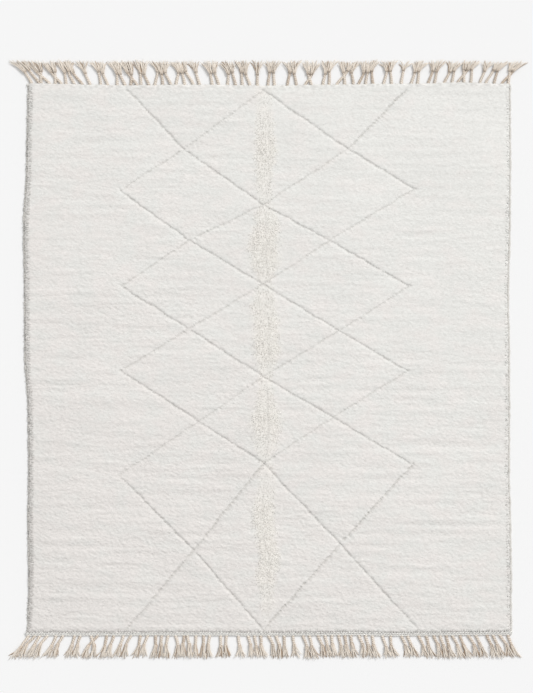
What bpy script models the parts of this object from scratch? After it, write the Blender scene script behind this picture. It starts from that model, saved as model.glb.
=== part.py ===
"""A wool rug of the beni ourain kind, lying flat: a thick pile field with a carved lozenge lattice,
an overcast selvedge down each side, and a knotted fringe on a woven band at each end.

Metres, +Z up. The origin is the middle of the rug's footprint, on the floor. +X runs across the rug,
and +Y runs along it, towards the far fringe.
"""

import math
import random
from collections import namedtuple

import bpy
import numpy as np
from mathutils import Vector
from mathutils.geometry import delaunay_2d_cdt

# Driving dimensions
HALF_LENGTH = 1.498  # from the middle to the fringe tips
PILE_THICKNESS = 0.015
GAP = 0.0003  # between pieces that touch
MILLIMETRE = 0.001

SELVEDGE_WIDTH = 0.015
SELVEDGE_HEIGHT = 0.009
SELVEDGE_UNEVENNESS = 0.06  # how much its height comes and goes, as a share
SELVEDGE_PACE = 2.3  # radians of that at each step
# The selvedge's section: shares of its width, from its outer foot, and of its height
SELVEDGE_SECTION = ((0.0, 0.0), (1.0, 0.0), (1.0, 0.55), (0.72, 1.0), (0.28, 1.0), (0.0, 0.55))
SIDE_STEPS = 36  # stretches down one side
END_STEPS = 32  # stretches across one end of the pile
FAR_BAND_WIDTH = 0.010
NEAR_BAND_WIDTH = 0.018
BAND_HEIGHT = 0.008

# The sides and ends aren't ruler-straight: where each edge lies at some places along it.
SideRow = namedtuple("SideRow", "y left right")
SIDE_ROWS = (
    (-1.39, -1.214, 1.231),
    (-1.10, -1.207, 1.231),
    (-0.84, -1.211, 1.228),
    (-0.55, -1.208, 1.221),
    (-0.28, -1.210, 1.223),
    (0.05, -1.228, 1.221),
    (0.30, -1.229, 1.217),
    (0.70, -1.233, 1.225),
    (0.96, -1.219, 1.227),
    (1.39, -1.211, 1.226),
)
EndRow = namedtuple("EndRow", "x near far")
END_ROWS = (
    (-1.22, -1.390, 1.388),
    (-0.70, -1.389, 1.378),
    (-0.34, -1.389, 1.381),
    (0.00, -1.390, 1.376),
    (0.46, -1.388, 1.383),
    (0.68, -1.391, 1.386),
    (0.97, -1.388, 1.392),
    (1.22, -1.385, 1.386),
)

# Pile relief: inset from the pile's rim, and the height there
RIM_INSETS = (0.0, 0.010, 0.028)
RIM_HEIGHTS = (0.007, 0.0125, PILE_THICKNESS)
PATCH_SIZE = 0.095  # spacing of the pile's surface points
PATCH_SCATTER = 0.25  # how far a point strays, as a share of the spacing
JOINING_TOLERANCE = 1e-5
CLEAR_OF_TROUGH = 0.034
CLEAR_OF_RIM = 0.050
SWELL_HEIGHT = 0.0007
# The slow waves in the pile's height: radians a metre across and along, and where each starts
SwellWave = namedtuple("SwellWave", "across along start")
SWELL_WAVES = ((5.3, 1.1, 0.0), (2.1, -7.4, 1.0), (3.0, 11.0, 0.0))
SPINE_X = -0.02  # the shaggier stripe down the middle
SPINE_HALF_WIDTH = 0.070
SPINE_RISE = 0.0015

# Carved lines
GROOVE_HALF_WIDTH = 0.009
GROOVE_DEPTH = 0.006
TROUGH_STEP = 0.11  # spacing of points along a carved line
# Where the lattice's corners lie on each side, in rows from the far end to the near end.
# inner is the crossing half way in, outer the point, and centre the crossing at the spine.
LatticeRow = namedtuple("LatticeRow", "inner inner_y outer outer_y centre_y")
LEFT_LATTICE = (
    (-0.420, 1.060, -0.740, 0.850, 0.780),
    (-0.390, 0.600, -0.735, 0.370, 0.380),
    (-0.395, 0.155, -0.735, -0.055, -0.085),
    (-0.345, -0.310, -0.745, -0.580, -0.520),
    (-0.370, -0.955, -0.710, -1.358, -1.358),
)
RIGHT_LATTICE = (
    (0.405, 1.060, 0.740, 0.860, 0.780),
    (0.315, 0.600, 0.715, 0.370, 0.380),
    (0.360, 0.145, 0.705, -0.055, -0.085),
    (0.330, -0.290, 0.730, -0.525, -0.520),
    (0.365, -0.925, 0.760, -1.358, -1.358),
)
LATTICE_TOP_Y = 1.355
LEFT_TOP_X = -0.700
RIGHT_TOP_X = 0.695

# Soft troughs left across the rug by its folding and rolling
CREASE_HALF_WIDTH = 0.022
CREASE_DEPTH = 0.002
CreaseRow = namedtuple("CreaseRow", "start_x end_x y")
CREASE_ROWS = (
    (-1.15, -0.86, 0.005),
    (-1.16, -0.56, -0.745),
    (-1.16, -0.54, -0.860),
    (-1.15, -0.78, -0.950),
    (0.42, 1.17, -0.875),
    (0.50, 1.16, -0.430),
)

# Fringe: each tassel gathers one to three of the cords that leave the band.
# root is where the middle of its cords leaves the band, lean how far its tip lies to the side.
CORD_PITCH = 0.033
CORD_WIDTH = 0.015
CORD_HEIGHT = 0.010
CORD_TAPER = 0.0035  # how much narrower a cord is on top, each side
HEAD_LENGTH = 0.016
HEAD_HEIGHT = 0.014
HEAD_WIDTHS = {1: 0.020, 2: 0.032, 3: 0.044}
HEAD_ENDS = 0.8  # the head's width where cords and locks join it, as a share
LOCK_COUNTS = {1: 2, 2: 3, 3: 3}
LOCK_GAP = 0.003
LOCK_ROOT_HEIGHT = 0.011
LOCK_MIDDLE_HEIGHT = 0.009
LOCK_TIP_HEIGHT = 0.006
FLARES = {1: 0.025, 2: 0.038, 3: 0.046}  # half the width of a tassel's tip
TIP_UNEVENNESS = 0.007
KNOT_LEAN = 0.5  # the share of the lean reached at the head
FAR_CORD_LENGTH = 0.060
NEAR_CORD_LENGTH = 0.046
TasselRow = namedtuple("TasselRow", "root_mm cords lean_mm")
FAR_TASSELS = (
    (-1180, 2, -70), (-1115, 2, -60), (-1050, 2, -55), (-970, 3, -55), (-890, 1, -50),
    (-820, 2, -35), (-735, 2, -25), (-670, 2, -45), (-615, 2, -30), (-525, 3, -15),
    (-415, 3, -25), (-340, 1, -40), (-260, 2, -30), (-180, 2, -15), (-105, 2, -25),
    (-50, 1, 5), (20, 2, 0), (125, 2, 0), (205, 2, 20), (295, 2, 15),
    (390, 3, 25), (495, 3, 20), (605, 2, 10), (675, 1, 25), (740, 2, 25),
    (825, 2, 35), (910, 2, 40), (990, 3, 35), (1070, 1, 45), (1120, 2, 55),
    (1195, 2, 65),
)
NEAR_TASSELS = (
    (-1185, 2, -75), (-1125, 2, -60), (-1045, 2, -50), (-955, 2, -30), (-870, 2, -30),
    (-790, 2, -30), (-705, 2, -35), (-620, 2, -25), (-530, 3, -10), (-440, 2, 5),
    (-380, 2, 5), (-305, 2, -10), (-220, 2, 0), (-145, 1, 10), (-65, 3, 15),
    (45, 3, 25), (130, 1, 15), (195, 2, 30), (290, 3, 25), (390, 3, 15),
    (495, 3, 25), (600, 2, 25), (690, 2, 40), (780, 2, 35), (870, 3, 30),
    (950, 2, 45), (1030, 2, 45), (1120, 2, 45), (1190, 2, 50),
)

# Finishes: colour, roughness
IVORY_WOOL = ("ivory_wool", (0.79, 0.78, 0.75), 0.95)
EDGE_WOOL = ("edge_wool", (0.72, 0.69, 0.62), 0.95)
NATURAL_YARN = ("natural_yarn", (0.60, 0.54, 0.46), 0.9)


def clear_scene():
    for thing in list(bpy.data.objects):
        bpy.data.objects.remove(thing)


def wool(finish):
    name, colour, roughness = finish
    material = bpy.data.materials.get(name)
    if material is None:
        material = bpy.data.materials.new(name)
        material.use_nodes = True
        shader = material.node_tree.nodes["Principled BSDF"]
        shader.inputs["Base Color"].default_value = (*colour, 1.0)
        shader.inputs["Roughness"].default_value = roughness
        shader.inputs["Metallic"].default_value = 0.0
    return material


def add_object(name, points, faces, finish):
    mesh = bpy.data.meshes.new(name)
    mesh.from_pydata(points, [], faces)
    mesh.validate()
    mesh.materials.append(wool(finish))
    made = bpy.data.objects.new(name, mesh)
    bpy.context.scene.collection.objects.link(made)
    return made


def read_table(rows, column, place):
    """One column of a table, read smoothly between its rows at a place along the first column."""
    place = min(max(place, rows[0][0]), rows[-1][0])
    for low, high in zip(rows, rows[1:]):
        if place <= high[0]:
            share = (place - low[0]) / (high[0] - low[0])
            share = share * share * (3 - 2 * share)
            return low[column] + (high[column] - low[column]) * share
    return rows[-1][column]


def side_x(side, y):
    """The outer edge of the left or right selvedge."""
    return read_table(SIDE_ROWS, SideRow._fields.index(side), y)


def end_y(end, x):
    """Where the fringe leaves the near or far end."""
    return read_table(END_ROWS, EndRow._fields.index(end), x)


def pile_end_y(end, x):
    """Where the pile stops, short of the woven band at that end."""
    if end == "far":
        return end_y("far", x) - FAR_BAND_WIDTH - GAP
    return end_y("near", x) + NEAR_BAND_WIDTH + GAP


def side_stations(side, inset=0.0):
    """The places along one side that the pile and its selvedge share."""
    corner_x = side_x(side, 0.0)
    low = pile_end_y("near", corner_x) + inset
    high = pile_end_y("far", corner_x) - inset
    return [float(y) for y in np.linspace(low, high, SIDE_STEPS + 1)]


def pile_side_x(side, y):
    inward = 1 if side == "left" else -1
    return side_x(side, y) + inward * (SELVEDGE_WIDTH + GAP)


def pile_ring(inset):
    """The pile's outline drawn in by an inset, counter-clockwise from the near left corner."""
    rights = [(pile_side_x("right", y) - inset, y) for y in side_stations("right", inset)]
    lefts = [(pile_side_x("left", y) + inset, y) for y in side_stations("left", inset)]
    ring = [lefts[0]]
    for share in np.linspace(0, 1, END_STEPS + 1)[1:-1]:
        x = float(lefts[0][0] + (rights[0][0] - lefts[0][0]) * share)
        ring.append((x, pile_end_y("near", x) + inset))
    ring += rights
    for share in np.linspace(0, 1, END_STEPS + 1)[1:-1]:
        x = float(rights[-1][0] + (lefts[-1][0] - rights[-1][0]) * share)
        ring.append((x, pile_end_y("far", x) - inset))
    return ring + lefts[:0:-1]


def lattice_lines():
    """The carved lozenges as straight stretches between crossings."""
    lines = []
    for top_x, rows in ((LEFT_TOP_X, LEFT_LATTICE), (RIGHT_TOP_X, RIGHT_LATTICE)):
        tops = [(SPINE_X, LATTICE_TOP_Y), (top_x, LATTICE_TOP_Y)]
        for row in map(LatticeRow._make, rows):
            crossing = (row.inner, row.inner_y)
            ends = [(row.outer, row.outer_y), (SPINE_X, row.centre_y)]
            lines += [(start, crossing) for start in tops] + [(crossing, end) for end in ends]
            tops = ends
    return lines


def troughs():
    """Every line sunk into the pile, with its half width and depth."""
    carved = [(start, end, GROOVE_HALF_WIDTH, GROOVE_DEPTH) for start, end in lattice_lines()]
    creases = [
        ((row.start_x, row.y), (row.end_x, row.y), CREASE_HALF_WIDTH, CREASE_DEPTH)
        for row in map(CreaseRow._make, CREASE_ROWS)
    ]
    return carved + creases


def beside_line(x, y, start, end):
    """How far a place lies from a line, and the share of the line's length that it is level with."""
    along = Vector(end) - Vector(start)
    away = Vector((x, y)) - Vector(start)
    share = min(max(away.dot(along) / along.length_squared, 0.0), 1.0)
    return (away - along * share).length, share


def rim_distance(x, y):
    return min(
        x - pile_side_x("left", y),
        pile_side_x("right", y) - x,
        y - pile_end_y("near", x),
        pile_end_y("far", x) - y,
    )


def swell(x, y):
    """The slow, uneven rise and fall of a hand-made pile."""
    waves = [math.sin(w.across * x + w.along * y + w.start) for w in map(SwellWave._make, SWELL_WAVES)]
    spine = math.exp(-(((x - SPINE_X) / SPINE_HALF_WIDTH) ** 2))
    return SWELL_HEIGHT * sum(waves) + SPINE_RISE * spine


def pile_height(x, y, sunk):
    """The pile's top at a place: full height, less the rounded rim and what is carved there."""
    inset = max(rim_distance(x, y), 0.0)
    height = float(np.interp(inset, RIM_INSETS, RIM_HEIGHTS))
    inside = min(inset / RIM_INSETS[-1], 1.0)
    cut = 0.0
    for start, end, half_width, depth in sunk:
        away, share = beside_line(x, y, start, end)
        fade = 1.0 if depth == GROOVE_DEPTH else math.sin(math.pi * share)
        cut = max(cut, fade * depth * (1 - away / half_width))
    return height + inside * (swell(x, y) - cut)


def trough_points(start, end, half_width):
    """Three rows of points down a trough: its bottom and its two shoulders."""
    along = Vector(end) - Vector(start)
    across = Vector((-along.y, along.x)).normalized() * half_width
    steps = max(1, round(along.length / TROUGH_STEP))
    rows = []
    for shift in (-1, 0, 1):
        row = [Vector(start) + along * (k / steps) + across * shift for k in range(steps + 1)]
        rows.append([(float(point.x), float(point.y)) for point in row])
    return rows


def patch_points(sunk):
    """Scattered points over the open pile, clear of its rim and of what is sunk into it."""
    scatter = random.Random(4)
    reach = PATCH_SCATTER * PATCH_SIZE
    points = []
    for y in np.arange(-HALF_LENGTH, HALF_LENGTH, PATCH_SIZE):
        for x in np.arange(-HALF_LENGTH, HALF_LENGTH, PATCH_SIZE):
            spot = (float(x) + scatter.uniform(-reach, reach), float(y) + scatter.uniform(-reach, reach))
            if rim_distance(*spot) < CLEAR_OF_RIM:
                continue
            if all(beside_line(*spot, start, end)[0] > CLEAR_OF_TROUGH for start, end, _, _ in sunk):
                points.append(spot)
    return points


def build_pile_field():
    """The pile as one thick slab: flat underneath, rounded at the rim and carved on top."""
    sunk = troughs()
    points, edges = [], []
    rings = [pile_ring(inset) for inset in RIM_INSETS]
    for ring in rings:
        first = len(points)
        points += ring
        edges += [(first + k, first + (k + 1) % len(ring)) for k in range(len(ring))]
    for start, end, half_width, _ in sunk:
        for row in trough_points(start, end, half_width):
            first = len(points)
            points += row
            edges += [(first + k, first + k + 1) for k in range(len(row) - 1)]
    points += patch_points(sunk)
    outline = list(range(len(rings[0])))
    inside_outline = 1
    plan, _, faces, origins, _, _ = delaunay_2d_cdt(
        [Vector(point) for point in points], edges, [outline], inside_outline, JOINING_TOLERANCE
    )
    top = [(p.x, p.y, pile_height(p.x, p.y, sunk)) for p in plan]
    placed = {source: k for k, sources in enumerate(origins) for source in sources}
    rim = [placed[k] for k in outline]
    floor = [(plan[k].x, plan[k].y, 0.0) for k in rim]
    floor_ring = [len(top) + k for k in range(len(rim))]
    walls = []
    for k in range(len(rim)):
        after = (k + 1) % len(rim)
        walls.append((floor_ring[k], floor_ring[after], rim[after], rim[k]))
    faces = [tuple(face) for face in faces] + walls + [tuple(reversed(floor_ring))]
    return add_object("pile_field", top + floor, faces, IVORY_WOOL)


def build_selvedge(side):
    """The overcast edge cord down one side, rounded on top and flat underneath."""
    inward = 1 if side == "left" else -1
    stations = side_stations(side)
    points = []
    for k, y in enumerate(stations):
        height = SELVEDGE_HEIGHT * (1 + SELVEDGE_UNEVENNESS * math.sin(SELVEDGE_PACE * k))
        for across, up in SELVEDGE_SECTION:
            points.append((side_x(side, y) + inward * across * SELVEDGE_WIDTH, y, up * height))
    count = len(SELVEDGE_SECTION)
    faces = []
    for k in range(len(stations) - 1):
        for j in range(count):
            after = (j + 1) % count
            faces.append((k * count + after, k * count + j, (k + 1) * count + j, (k + 1) * count + after))
    near_cap = tuple(range(count))
    far_cap = tuple((len(stations) - 1) * count + j for j in reversed(range(count)))
    faces += [near_cap, far_cap]
    if side == "right":
        faces = [face[::-1] for face in faces]
    return add_object(f"selvedge_{side}", points, faces, EDGE_WOOL)


class Plan:
    """A flat drawing of joined shapes, which becomes one solid with tapered sides."""

    def __init__(self):
        self.points, self.heights, self.shapes = [], [], []

    def point(self, x, y, height):
        self.points.append(Vector((x, y)))
        self.heights.append(height)
        return len(self.points) - 1

    def shape(self, corners, peak=None):
        """One counter-clockwise polygon, with a raised middle where a peak is given."""
        self.shapes.append((tuple(corners), peak))

    def inward_shifts(self):
        """How far each rim point moves in on top, from the rim edges on either side of it."""
        edges = {(c[k - 1], c[k]) for c, _ in self.shapes for k in range(len(c))}
        shifts = [Vector((0, 0)) for _ in self.points]
        rim = [edge for edge in sorted(edges) if edge[::-1] not in edges]
        for a, b in rim:
            along = (self.points[b] - self.points[a]).normalized()
            for end in (a, b):
                shifts[end] += Vector((-along.y, along.x))
        return rim, [CORD_TAPER * s.normalized() if s.length else s for s in shifts]

    def build(self, name, finish):
        rim, shifts = self.inward_shifts()
        count = len(self.points)
        points = [(p.x, p.y, 0.0) for p in self.points]
        points += [
            (p.x + s.x, p.y + s.y, h) for p, s, h in zip(self.points, shifts, self.heights)
        ]
        faces = [(a, b, b + count, a + count) for a, b in rim]
        for corners, peak in self.shapes:
            faces.append(corners[::-1])
            top = tuple(k + count for k in corners)
            if peak is None:
                faces.append(top)
                continue
            middle = sum((self.points[k] for k in corners), Vector((0, 0))) / len(corners)
            points.append((middle.x, middle.y, peak))
            faces += [(top[k - 1], top[k], len(points) - 1) for k in range(len(top))]
        return add_object(name, points, faces, finish)


def tassel_layout(end):
    """Each tassel's roots, head and lock tips, as places across the rug and out from it."""
    rows = FAR_TASSELS if end == "far" else NEAR_TASSELS
    cord_length = FAR_CORD_LENGTH if end == "far" else NEAR_CORD_LENGTH
    uneven = random.Random(end)
    rows = [TasselRow._make(row) for row in rows]
    tips = [(row.root_mm + row.lean_mm) * MILLIMETRE for row in rows]
    tassels = []
    for k, row in enumerate(rows):
        root, cords, lean = row.root_mm * MILLIMETRE, row.cords, row.lean_mm * MILLIMETRE
        reach = HALF_LENGTH - abs(end_y(end, root))
        short = uneven.uniform(0, TIP_UNEVENNESS) if k else 0.0
        room_left = (tips[k] - tips[k - 1] - LOCK_GAP) / 2 if k else math.inf
        room_right = (tips[k + 1] - tips[k] - LOCK_GAP) / 2 if k + 1 < len(tips) else math.inf
        tassels.append(
            {
                "roots": [root + (j - (cords - 1) / 2) * CORD_PITCH for j in range(cords)],
                "head": Vector((root + lean * KNOT_LEAN, cord_length)),
                "head_width": HEAD_WIDTHS[cords],
                "locks": LOCK_COUNTS[cords],
                "tip_left": tips[k] - min(FLARES[cords], room_left),
                "tip_right": tips[k] + min(FLARES[cords], room_right),
                "tip_reach": reach - short,
            }
        )
    return tassels


def build_fringe(end):
    """A woven end band with its cords, the head that each tassel is tied to, and its locks."""
    outward = 1 if end == "far" else -1
    band_width = FAR_BAND_WIDTH if end == "far" else NEAR_BAND_WIDTH
    plan = Plan()

    def place(x, out, height):
        return plan.point(x, end_y(end, x) + outward * out, height)

    def lay(corners, peak=None):
        plan.shape(corners if outward > 0 else corners[::-1], peak)

    def band_station(x):
        return place(x, -band_width, BAND_HEIGHT), place(x, 0.0, BAND_HEIGHT)

    tassels = tassel_layout(end)
    corner_y = end_y(end, 0.0)
    stations = [band_station(side_x("left", corner_y))]
    for tassel in tassels:
        cord_ends = []
        for root in tassel["roots"]:
            stations.append(band_station(root - CORD_WIDTH / 2))
            stations.append(band_station(root + CORD_WIDTH / 2))
            cord_ends.append((stations[-2][1], stations[-1][1]))
        lay_tassel(place, lay, tassel, cord_ends)
    stations.append(band_station(side_x("right", corner_y)))
    for (inner, outer), (next_inner, next_outer) in zip(stations, stations[1:]):
        lay((inner, next_inner, next_outer, outer))
    return plan.build(f"fringe_{end}", NATURAL_YARN)


def lay_tassel(place, lay, tassel, cord_ends):
    """The cords of one tassel, drawn in to its head, and the locks that flare from it."""
    middle_root = sum(tassel["roots"]) / len(tassel["roots"])
    head = tassel["head"]
    along = Vector((head.x - middle_root, head.y)).normalized()
    across = Vector((along.y, -along.x))
    half_width = tassel["head_width"] / 2

    def on_head(share, out):
        """A spot on the head's rim: share runs across from -1 to 1, out from its cord end."""
        return head + across * (half_width * share) + along * out

    def split(parts, out):
        """The spots that part one end of the head into so many roots."""
        return [on_head(HEAD_ENDS * (2 * k / parts - 1), out) for k in range(parts + 1)]

    inner = [place(*spot, CORD_HEIGHT) for spot in split(len(cord_ends), 0.0)]
    lock_roots = split(tassel["locks"], HEAD_LENGTH)
    outer = [place(*spot, LOCK_ROOT_HEIGHT) for spot in lock_roots]
    left = place(*on_head(-1.0, HEAD_LENGTH / 2), CORD_HEIGHT)
    right = place(*on_head(1.0, HEAD_LENGTH / 2), CORD_HEIGHT)
    lay((*inner, right, *outer[::-1], left), HEAD_HEIGHT)
    for (left_root, right_root), a, b in zip(cord_ends, inner, inner[1:]):
        lay((left_root, right_root, b, a))

    lock_pitch = (tassel["tip_right"] - tassel["tip_left"] + LOCK_GAP) / tassel["locks"]
    parting = across * (LOCK_GAP / 4)
    for k, (a, b) in enumerate(zip(outer, outer[1:])):
        tip_left = Vector((tassel["tip_left"] + lock_pitch * k, tassel["tip_reach"]))
        tip_right = tip_left + Vector((lock_pitch - LOCK_GAP, 0))
        c = place(*((lock_roots[k] + tip_left) / 2 + parting), LOCK_MIDDLE_HEIGHT)
        d = place(*((lock_roots[k + 1] + tip_right) / 2 - parting), LOCK_MIDDLE_HEIGHT)
        e = place(*tip_left, LOCK_TIP_HEIGHT)
        f = place(*tip_right, LOCK_TIP_HEIGHT)
        lay((a, b, d, c))
        lay((c, d, f, e))


def main():
    clear_scene()
    build_pile_field()
    for side in ("left", "right"):
        build_selvedge(side)
    for end in ("far", "near"):
        build_fringe(end)


main()
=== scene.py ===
"""The looks of a beni ourain rug: a carved ivory pile on its woven ground, overcast selvedges, and a
twined band with knotted tassels at each end, lying on a pale floor.

It is laid out as an add-on and run as a script. Metres, +Z up: +X runs across the rug, and +Y along
it towards the far fringe.
"""

import math
import random
import zlib
from collections import namedtuple

import bpy
import numpy as np
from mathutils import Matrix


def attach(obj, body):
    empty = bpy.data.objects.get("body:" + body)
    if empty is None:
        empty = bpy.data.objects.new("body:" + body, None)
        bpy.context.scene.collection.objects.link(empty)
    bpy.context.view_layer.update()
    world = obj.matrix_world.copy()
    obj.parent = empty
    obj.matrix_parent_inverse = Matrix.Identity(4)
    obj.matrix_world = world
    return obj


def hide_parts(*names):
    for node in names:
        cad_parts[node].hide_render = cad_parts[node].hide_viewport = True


bl_info = {
    "name": "Beni ourain rug",
    "version": (1, 0, 0),
    "blender": (4, 5, 0),
    "location": "View3D > Sidebar > Rug",
    "description": "Makes the pile, selvedges, fringes and stage of a carved wool rug",
    "category": "Add Mesh",
}

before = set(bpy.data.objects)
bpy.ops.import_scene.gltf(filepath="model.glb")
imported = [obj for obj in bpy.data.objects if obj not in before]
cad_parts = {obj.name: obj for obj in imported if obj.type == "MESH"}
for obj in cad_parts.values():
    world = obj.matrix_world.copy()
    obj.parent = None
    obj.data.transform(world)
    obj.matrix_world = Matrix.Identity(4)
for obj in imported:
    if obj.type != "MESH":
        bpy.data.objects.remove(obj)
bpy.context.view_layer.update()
BODY = "root"
MILLIMETRE = 0.001

# Driving sizes that the rug's solids share
HALF_LENGTH = 1.498  # from the middle to the fringe tips
OUTWARD = {"left": -1, "right": 1, "near": -1, "far": 1}  # the way out over each edge
BORDERS = {"left": 0.015, "right": 0.015, "near": 0.018, "far": 0.010}  # selvedges and bands
# How far the pile's outermost tufts hang over each selvedge and band, and the height they hang at
OVERHANGS = {"left": 0.002, "right": 0.005, "near": 0.0, "far": 0.012}
HANG_HEIGHT = 0.0070
# How high the pile stands at some distances in from its outermost tufts
RIM_INSETS = (0.0, 0.003, 0.008, 0.016, 0.030)
RIM_HEIGHTS = (0.0088, 0.0120, 0.0137, 0.0147, 0.0150)
SPINE_X = -0.02  # where the lozenges meet, a little left of the middle

# The sides and ends aren't ruler-straight: where each edge lies at some places along it.
SideRow = namedtuple("SideRow", "y left right")
SIDE_ROWS = (
    (-1.39, -1.214, 1.231), (-1.10, -1.207, 1.231), (-0.84, -1.211, 1.228), (-0.55, -1.208, 1.221),
    (-0.28, -1.210, 1.223), (0.05, -1.228, 1.221), (0.30, -1.229, 1.217), (0.70, -1.233, 1.225),
    (0.96, -1.219, 1.227), (1.39, -1.211, 1.226),
)
EndRow = namedtuple("EndRow", "x near far")
END_ROWS = (
    (-1.22, -1.390, 1.388), (-0.70, -1.389, 1.378), (-0.34, -1.389, 1.381), (0.00, -1.390, 1.376),
    (0.46, -1.388, 1.383), (0.68, -1.391, 1.386), (0.97, -1.388, 1.392), (1.22, -1.385, 1.386),
)

# Slow waves in the pile's height: radians a metre across and along, and where each starts
SWELL_WAVES = ((5.3, 1.1, 0.0), (2.1, -7.4, 1.0), (3.0, 11.0, 0.0))
SWELL_HEIGHT = 0.0007

# Carved lines: where the lattice's corners lie on each side, in rows from the far end to the near
# end. inner is the crossing half way in, outer the point, and centre the crossing at the spine.
LatticeRow = namedtuple("LatticeRow", "inner inner_y outer outer_y centre_y")
LEFT_LATTICE = (
    (-0.420, 1.060, -0.740, 0.850, 0.780),
    (-0.390, 0.600, -0.735, 0.370, 0.380),
    (-0.395, 0.155, -0.735, -0.055, -0.085),
    (-0.345, -0.310, -0.745, -0.580, -0.520),
    (-0.370, -0.955, -0.710, -1.358, -1.358),
)
RIGHT_LATTICE = (
    (0.405, 1.060, 0.740, 0.860, 0.780),
    (0.315, 0.600, 0.715, 0.370, 0.380),
    (0.360, 0.145, 0.705, -0.055, -0.085),
    (0.330, -0.290, 0.730, -0.525, -0.520),
    (0.365, -0.925, 0.760, -1.358, -1.358),
)
LATTICE_TOP_Y = 1.355
LEFT_TOP_X = -0.700
RIGHT_TOP_X = 0.695

# Soft troughs left across the rug by its folding and rolling
CREASE_WIDTH = 0.016
CREASE_DEPTH = 0.0024
CreaseRow = namedtuple("CreaseRow", "start_x end_x y")
CREASE_ROWS = (
    (-1.15, -0.86, 0.005), (-1.16, -0.56, -0.745), (-1.16, -0.54, -0.860), (-1.15, -0.78, -0.950),
    (0.42, 1.17, -0.875), (0.50, 1.16, -0.430),
)

# The shaggier stripe down the middle: its two sides, the parting that its locks fall away from,
# and how shaggy it is there, from 0 to 1.
SpineRow = namedtuple("SpineRow", "y left right parting shag")
SPINE_ROWS = (
    (-1.34, -0.030, 0.020, -0.006, 0.15), (-1.20, -0.035, 0.035, 0.000, 0.60),
    (-1.10, -0.058, 0.040, 0.000, 0.90), (-1.00, -0.040, 0.066, 0.004, 1.00),
    (-0.90, -0.058, 0.045, -0.020, 0.95), (-0.78, -0.078, 0.040, -0.034, 1.00),
    (-0.60, -0.050, 0.040, -0.012, 0.35), (-0.50, -0.042, 0.022, -0.010, 0.55),
    (-0.42, -0.070, 0.060, -0.004, 0.65), (-0.30, -0.085, 0.075, 0.002, 1.00),
    (-0.21, -0.055, 0.045, 0.000, 0.80), (-0.08, -0.045, 0.025, -0.006, 0.60),
    (0.05, -0.065, 0.070, 0.002, 1.00), (0.16, -0.070, 0.060, 0.004, 0.95),
    (0.27, -0.080, 0.050, -0.016, 0.80), (0.38, -0.050, 0.025, -0.006, 0.60),
    (0.50, -0.090, 0.062, -0.004, 1.00), (0.58, -0.095, 0.062, -0.008, 1.00),
    (0.70, -0.065, 0.060, -0.010, 0.80), (0.79, -0.045, 0.025, 0.000, 0.50),
    (0.93, -0.060, 0.030, 0.006, 0.80), (1.05, -0.065, 0.052, 0.009, 1.00),
    (1.16, -0.062, 0.040, 0.006, 0.75), (1.30, -0.055, 0.022, 0.002, 0.45),
)

# Fringe: each tassel gathers one to three of the cords that leave the band. root is where the
# middle of its cords leaves the band, and lean how far its tip lies to the side.
TIP_OVERLAP = 0.013  # how far the tips of neighbours may cross
TIP_UNEVENNESS = 0.007
PINCH_LEAN = 0.5  # the share of the lean reached where the cords are pinched
# At each end: how far out of the band the cords start and how long they are, how far apart those
# of a tassel leave the band and are pinched, how many of a hundred tassels have two of their cords
# crossed, half the width of the tip of a tassel of one, two or three cords, and the share of the
# yarns that are dark and lie under the others, as painted shade in the brush (more at the near end)
CordRow = namedtuple("CordRow", "start length root_pitch pinch_pitch crossed flares dark_yarns")
CORD_ROWS = {
    "far": CordRow(-0.004, 0.064, 0.040, 0.019, 22, (0.042, 0.057, 0.070), 0.24),
    "near": CordRow(-0.003, 0.049, 0.038, 0.027, 6, (0.033, 0.046, 0.058), 0.36),
}
TasselRow = namedtuple("TasselRow", "root_mm cords lean_mm")
FAR_TASSELS = (
    (-1165, 2, -85), (-1115, 2, -60), (-1050, 2, -55), (-970, 3, -55), (-890, 1, -50),
    (-820, 2, -35), (-735, 2, -25), (-670, 2, -45), (-615, 2, -30), (-525, 3, -15),
    (-415, 3, -25), (-340, 1, -40), (-260, 2, -30), (-180, 2, -15), (-105, 2, -25),
    (-50, 1, 5), (20, 2, 0), (125, 2, 0), (205, 2, 20), (295, 2, 15),
    (390, 3, 25), (495, 3, 20), (605, 2, 10), (675, 1, 25), (740, 2, 25),
    (825, 2, 35), (910, 2, 40), (990, 3, 35), (1070, 1, 45), (1120, 2, 55),
    (1195, 2, 65),
)
NEAR_TASSELS = (
    (-1185, 2, -75), (-1125, 2, -60), (-1045, 2, -50), (-955, 2, -30), (-870, 2, -30),
    (-790, 2, -30), (-705, 2, -35), (-620, 2, -25), (-530, 3, -10), (-440, 2, 5),
    (-380, 2, 5), (-305, 2, -10), (-220, 2, 0), (-145, 1, 10), (-65, 3, 15),
    (45, 3, 25), (130, 1, 15), (195, 2, 30), (290, 3, 25), (390, 3, 15),
    (495, 3, 25), (600, 2, 25), (690, 2, 40), (780, 2, 35), (870, 3, 30),
    (950, 2, 45), (1030, 2, 45), (1120, 2, 45), (1190, 2, 50),
)

# The camera looks straight down, and sees this much of the floor along the picture's long side.
CAMERA_PLACE = (-0.004, 0.0655, 7.0)
SEEN_LENGTH = 3.49
SENSOR = 0.036


# ---- Sizes, finishes and light that a user would change


def size(name, description, default, least=0.0001):
    return bpy.props.FloatProperty(
        name=name, description=description, default=default, min=least, unit="LENGTH"
    )


def angle(name, description, degrees):
    return bpy.props.FloatProperty(
        name=name, description=description, default=math.radians(degrees), subtype="ANGLE", unit="ROTATION"
    )


def finish_colour(name, description, default):
    return bpy.props.FloatVectorProperty(
        name=name, description=description, default=default, subtype="COLOR", min=0, max=1
    )


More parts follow.
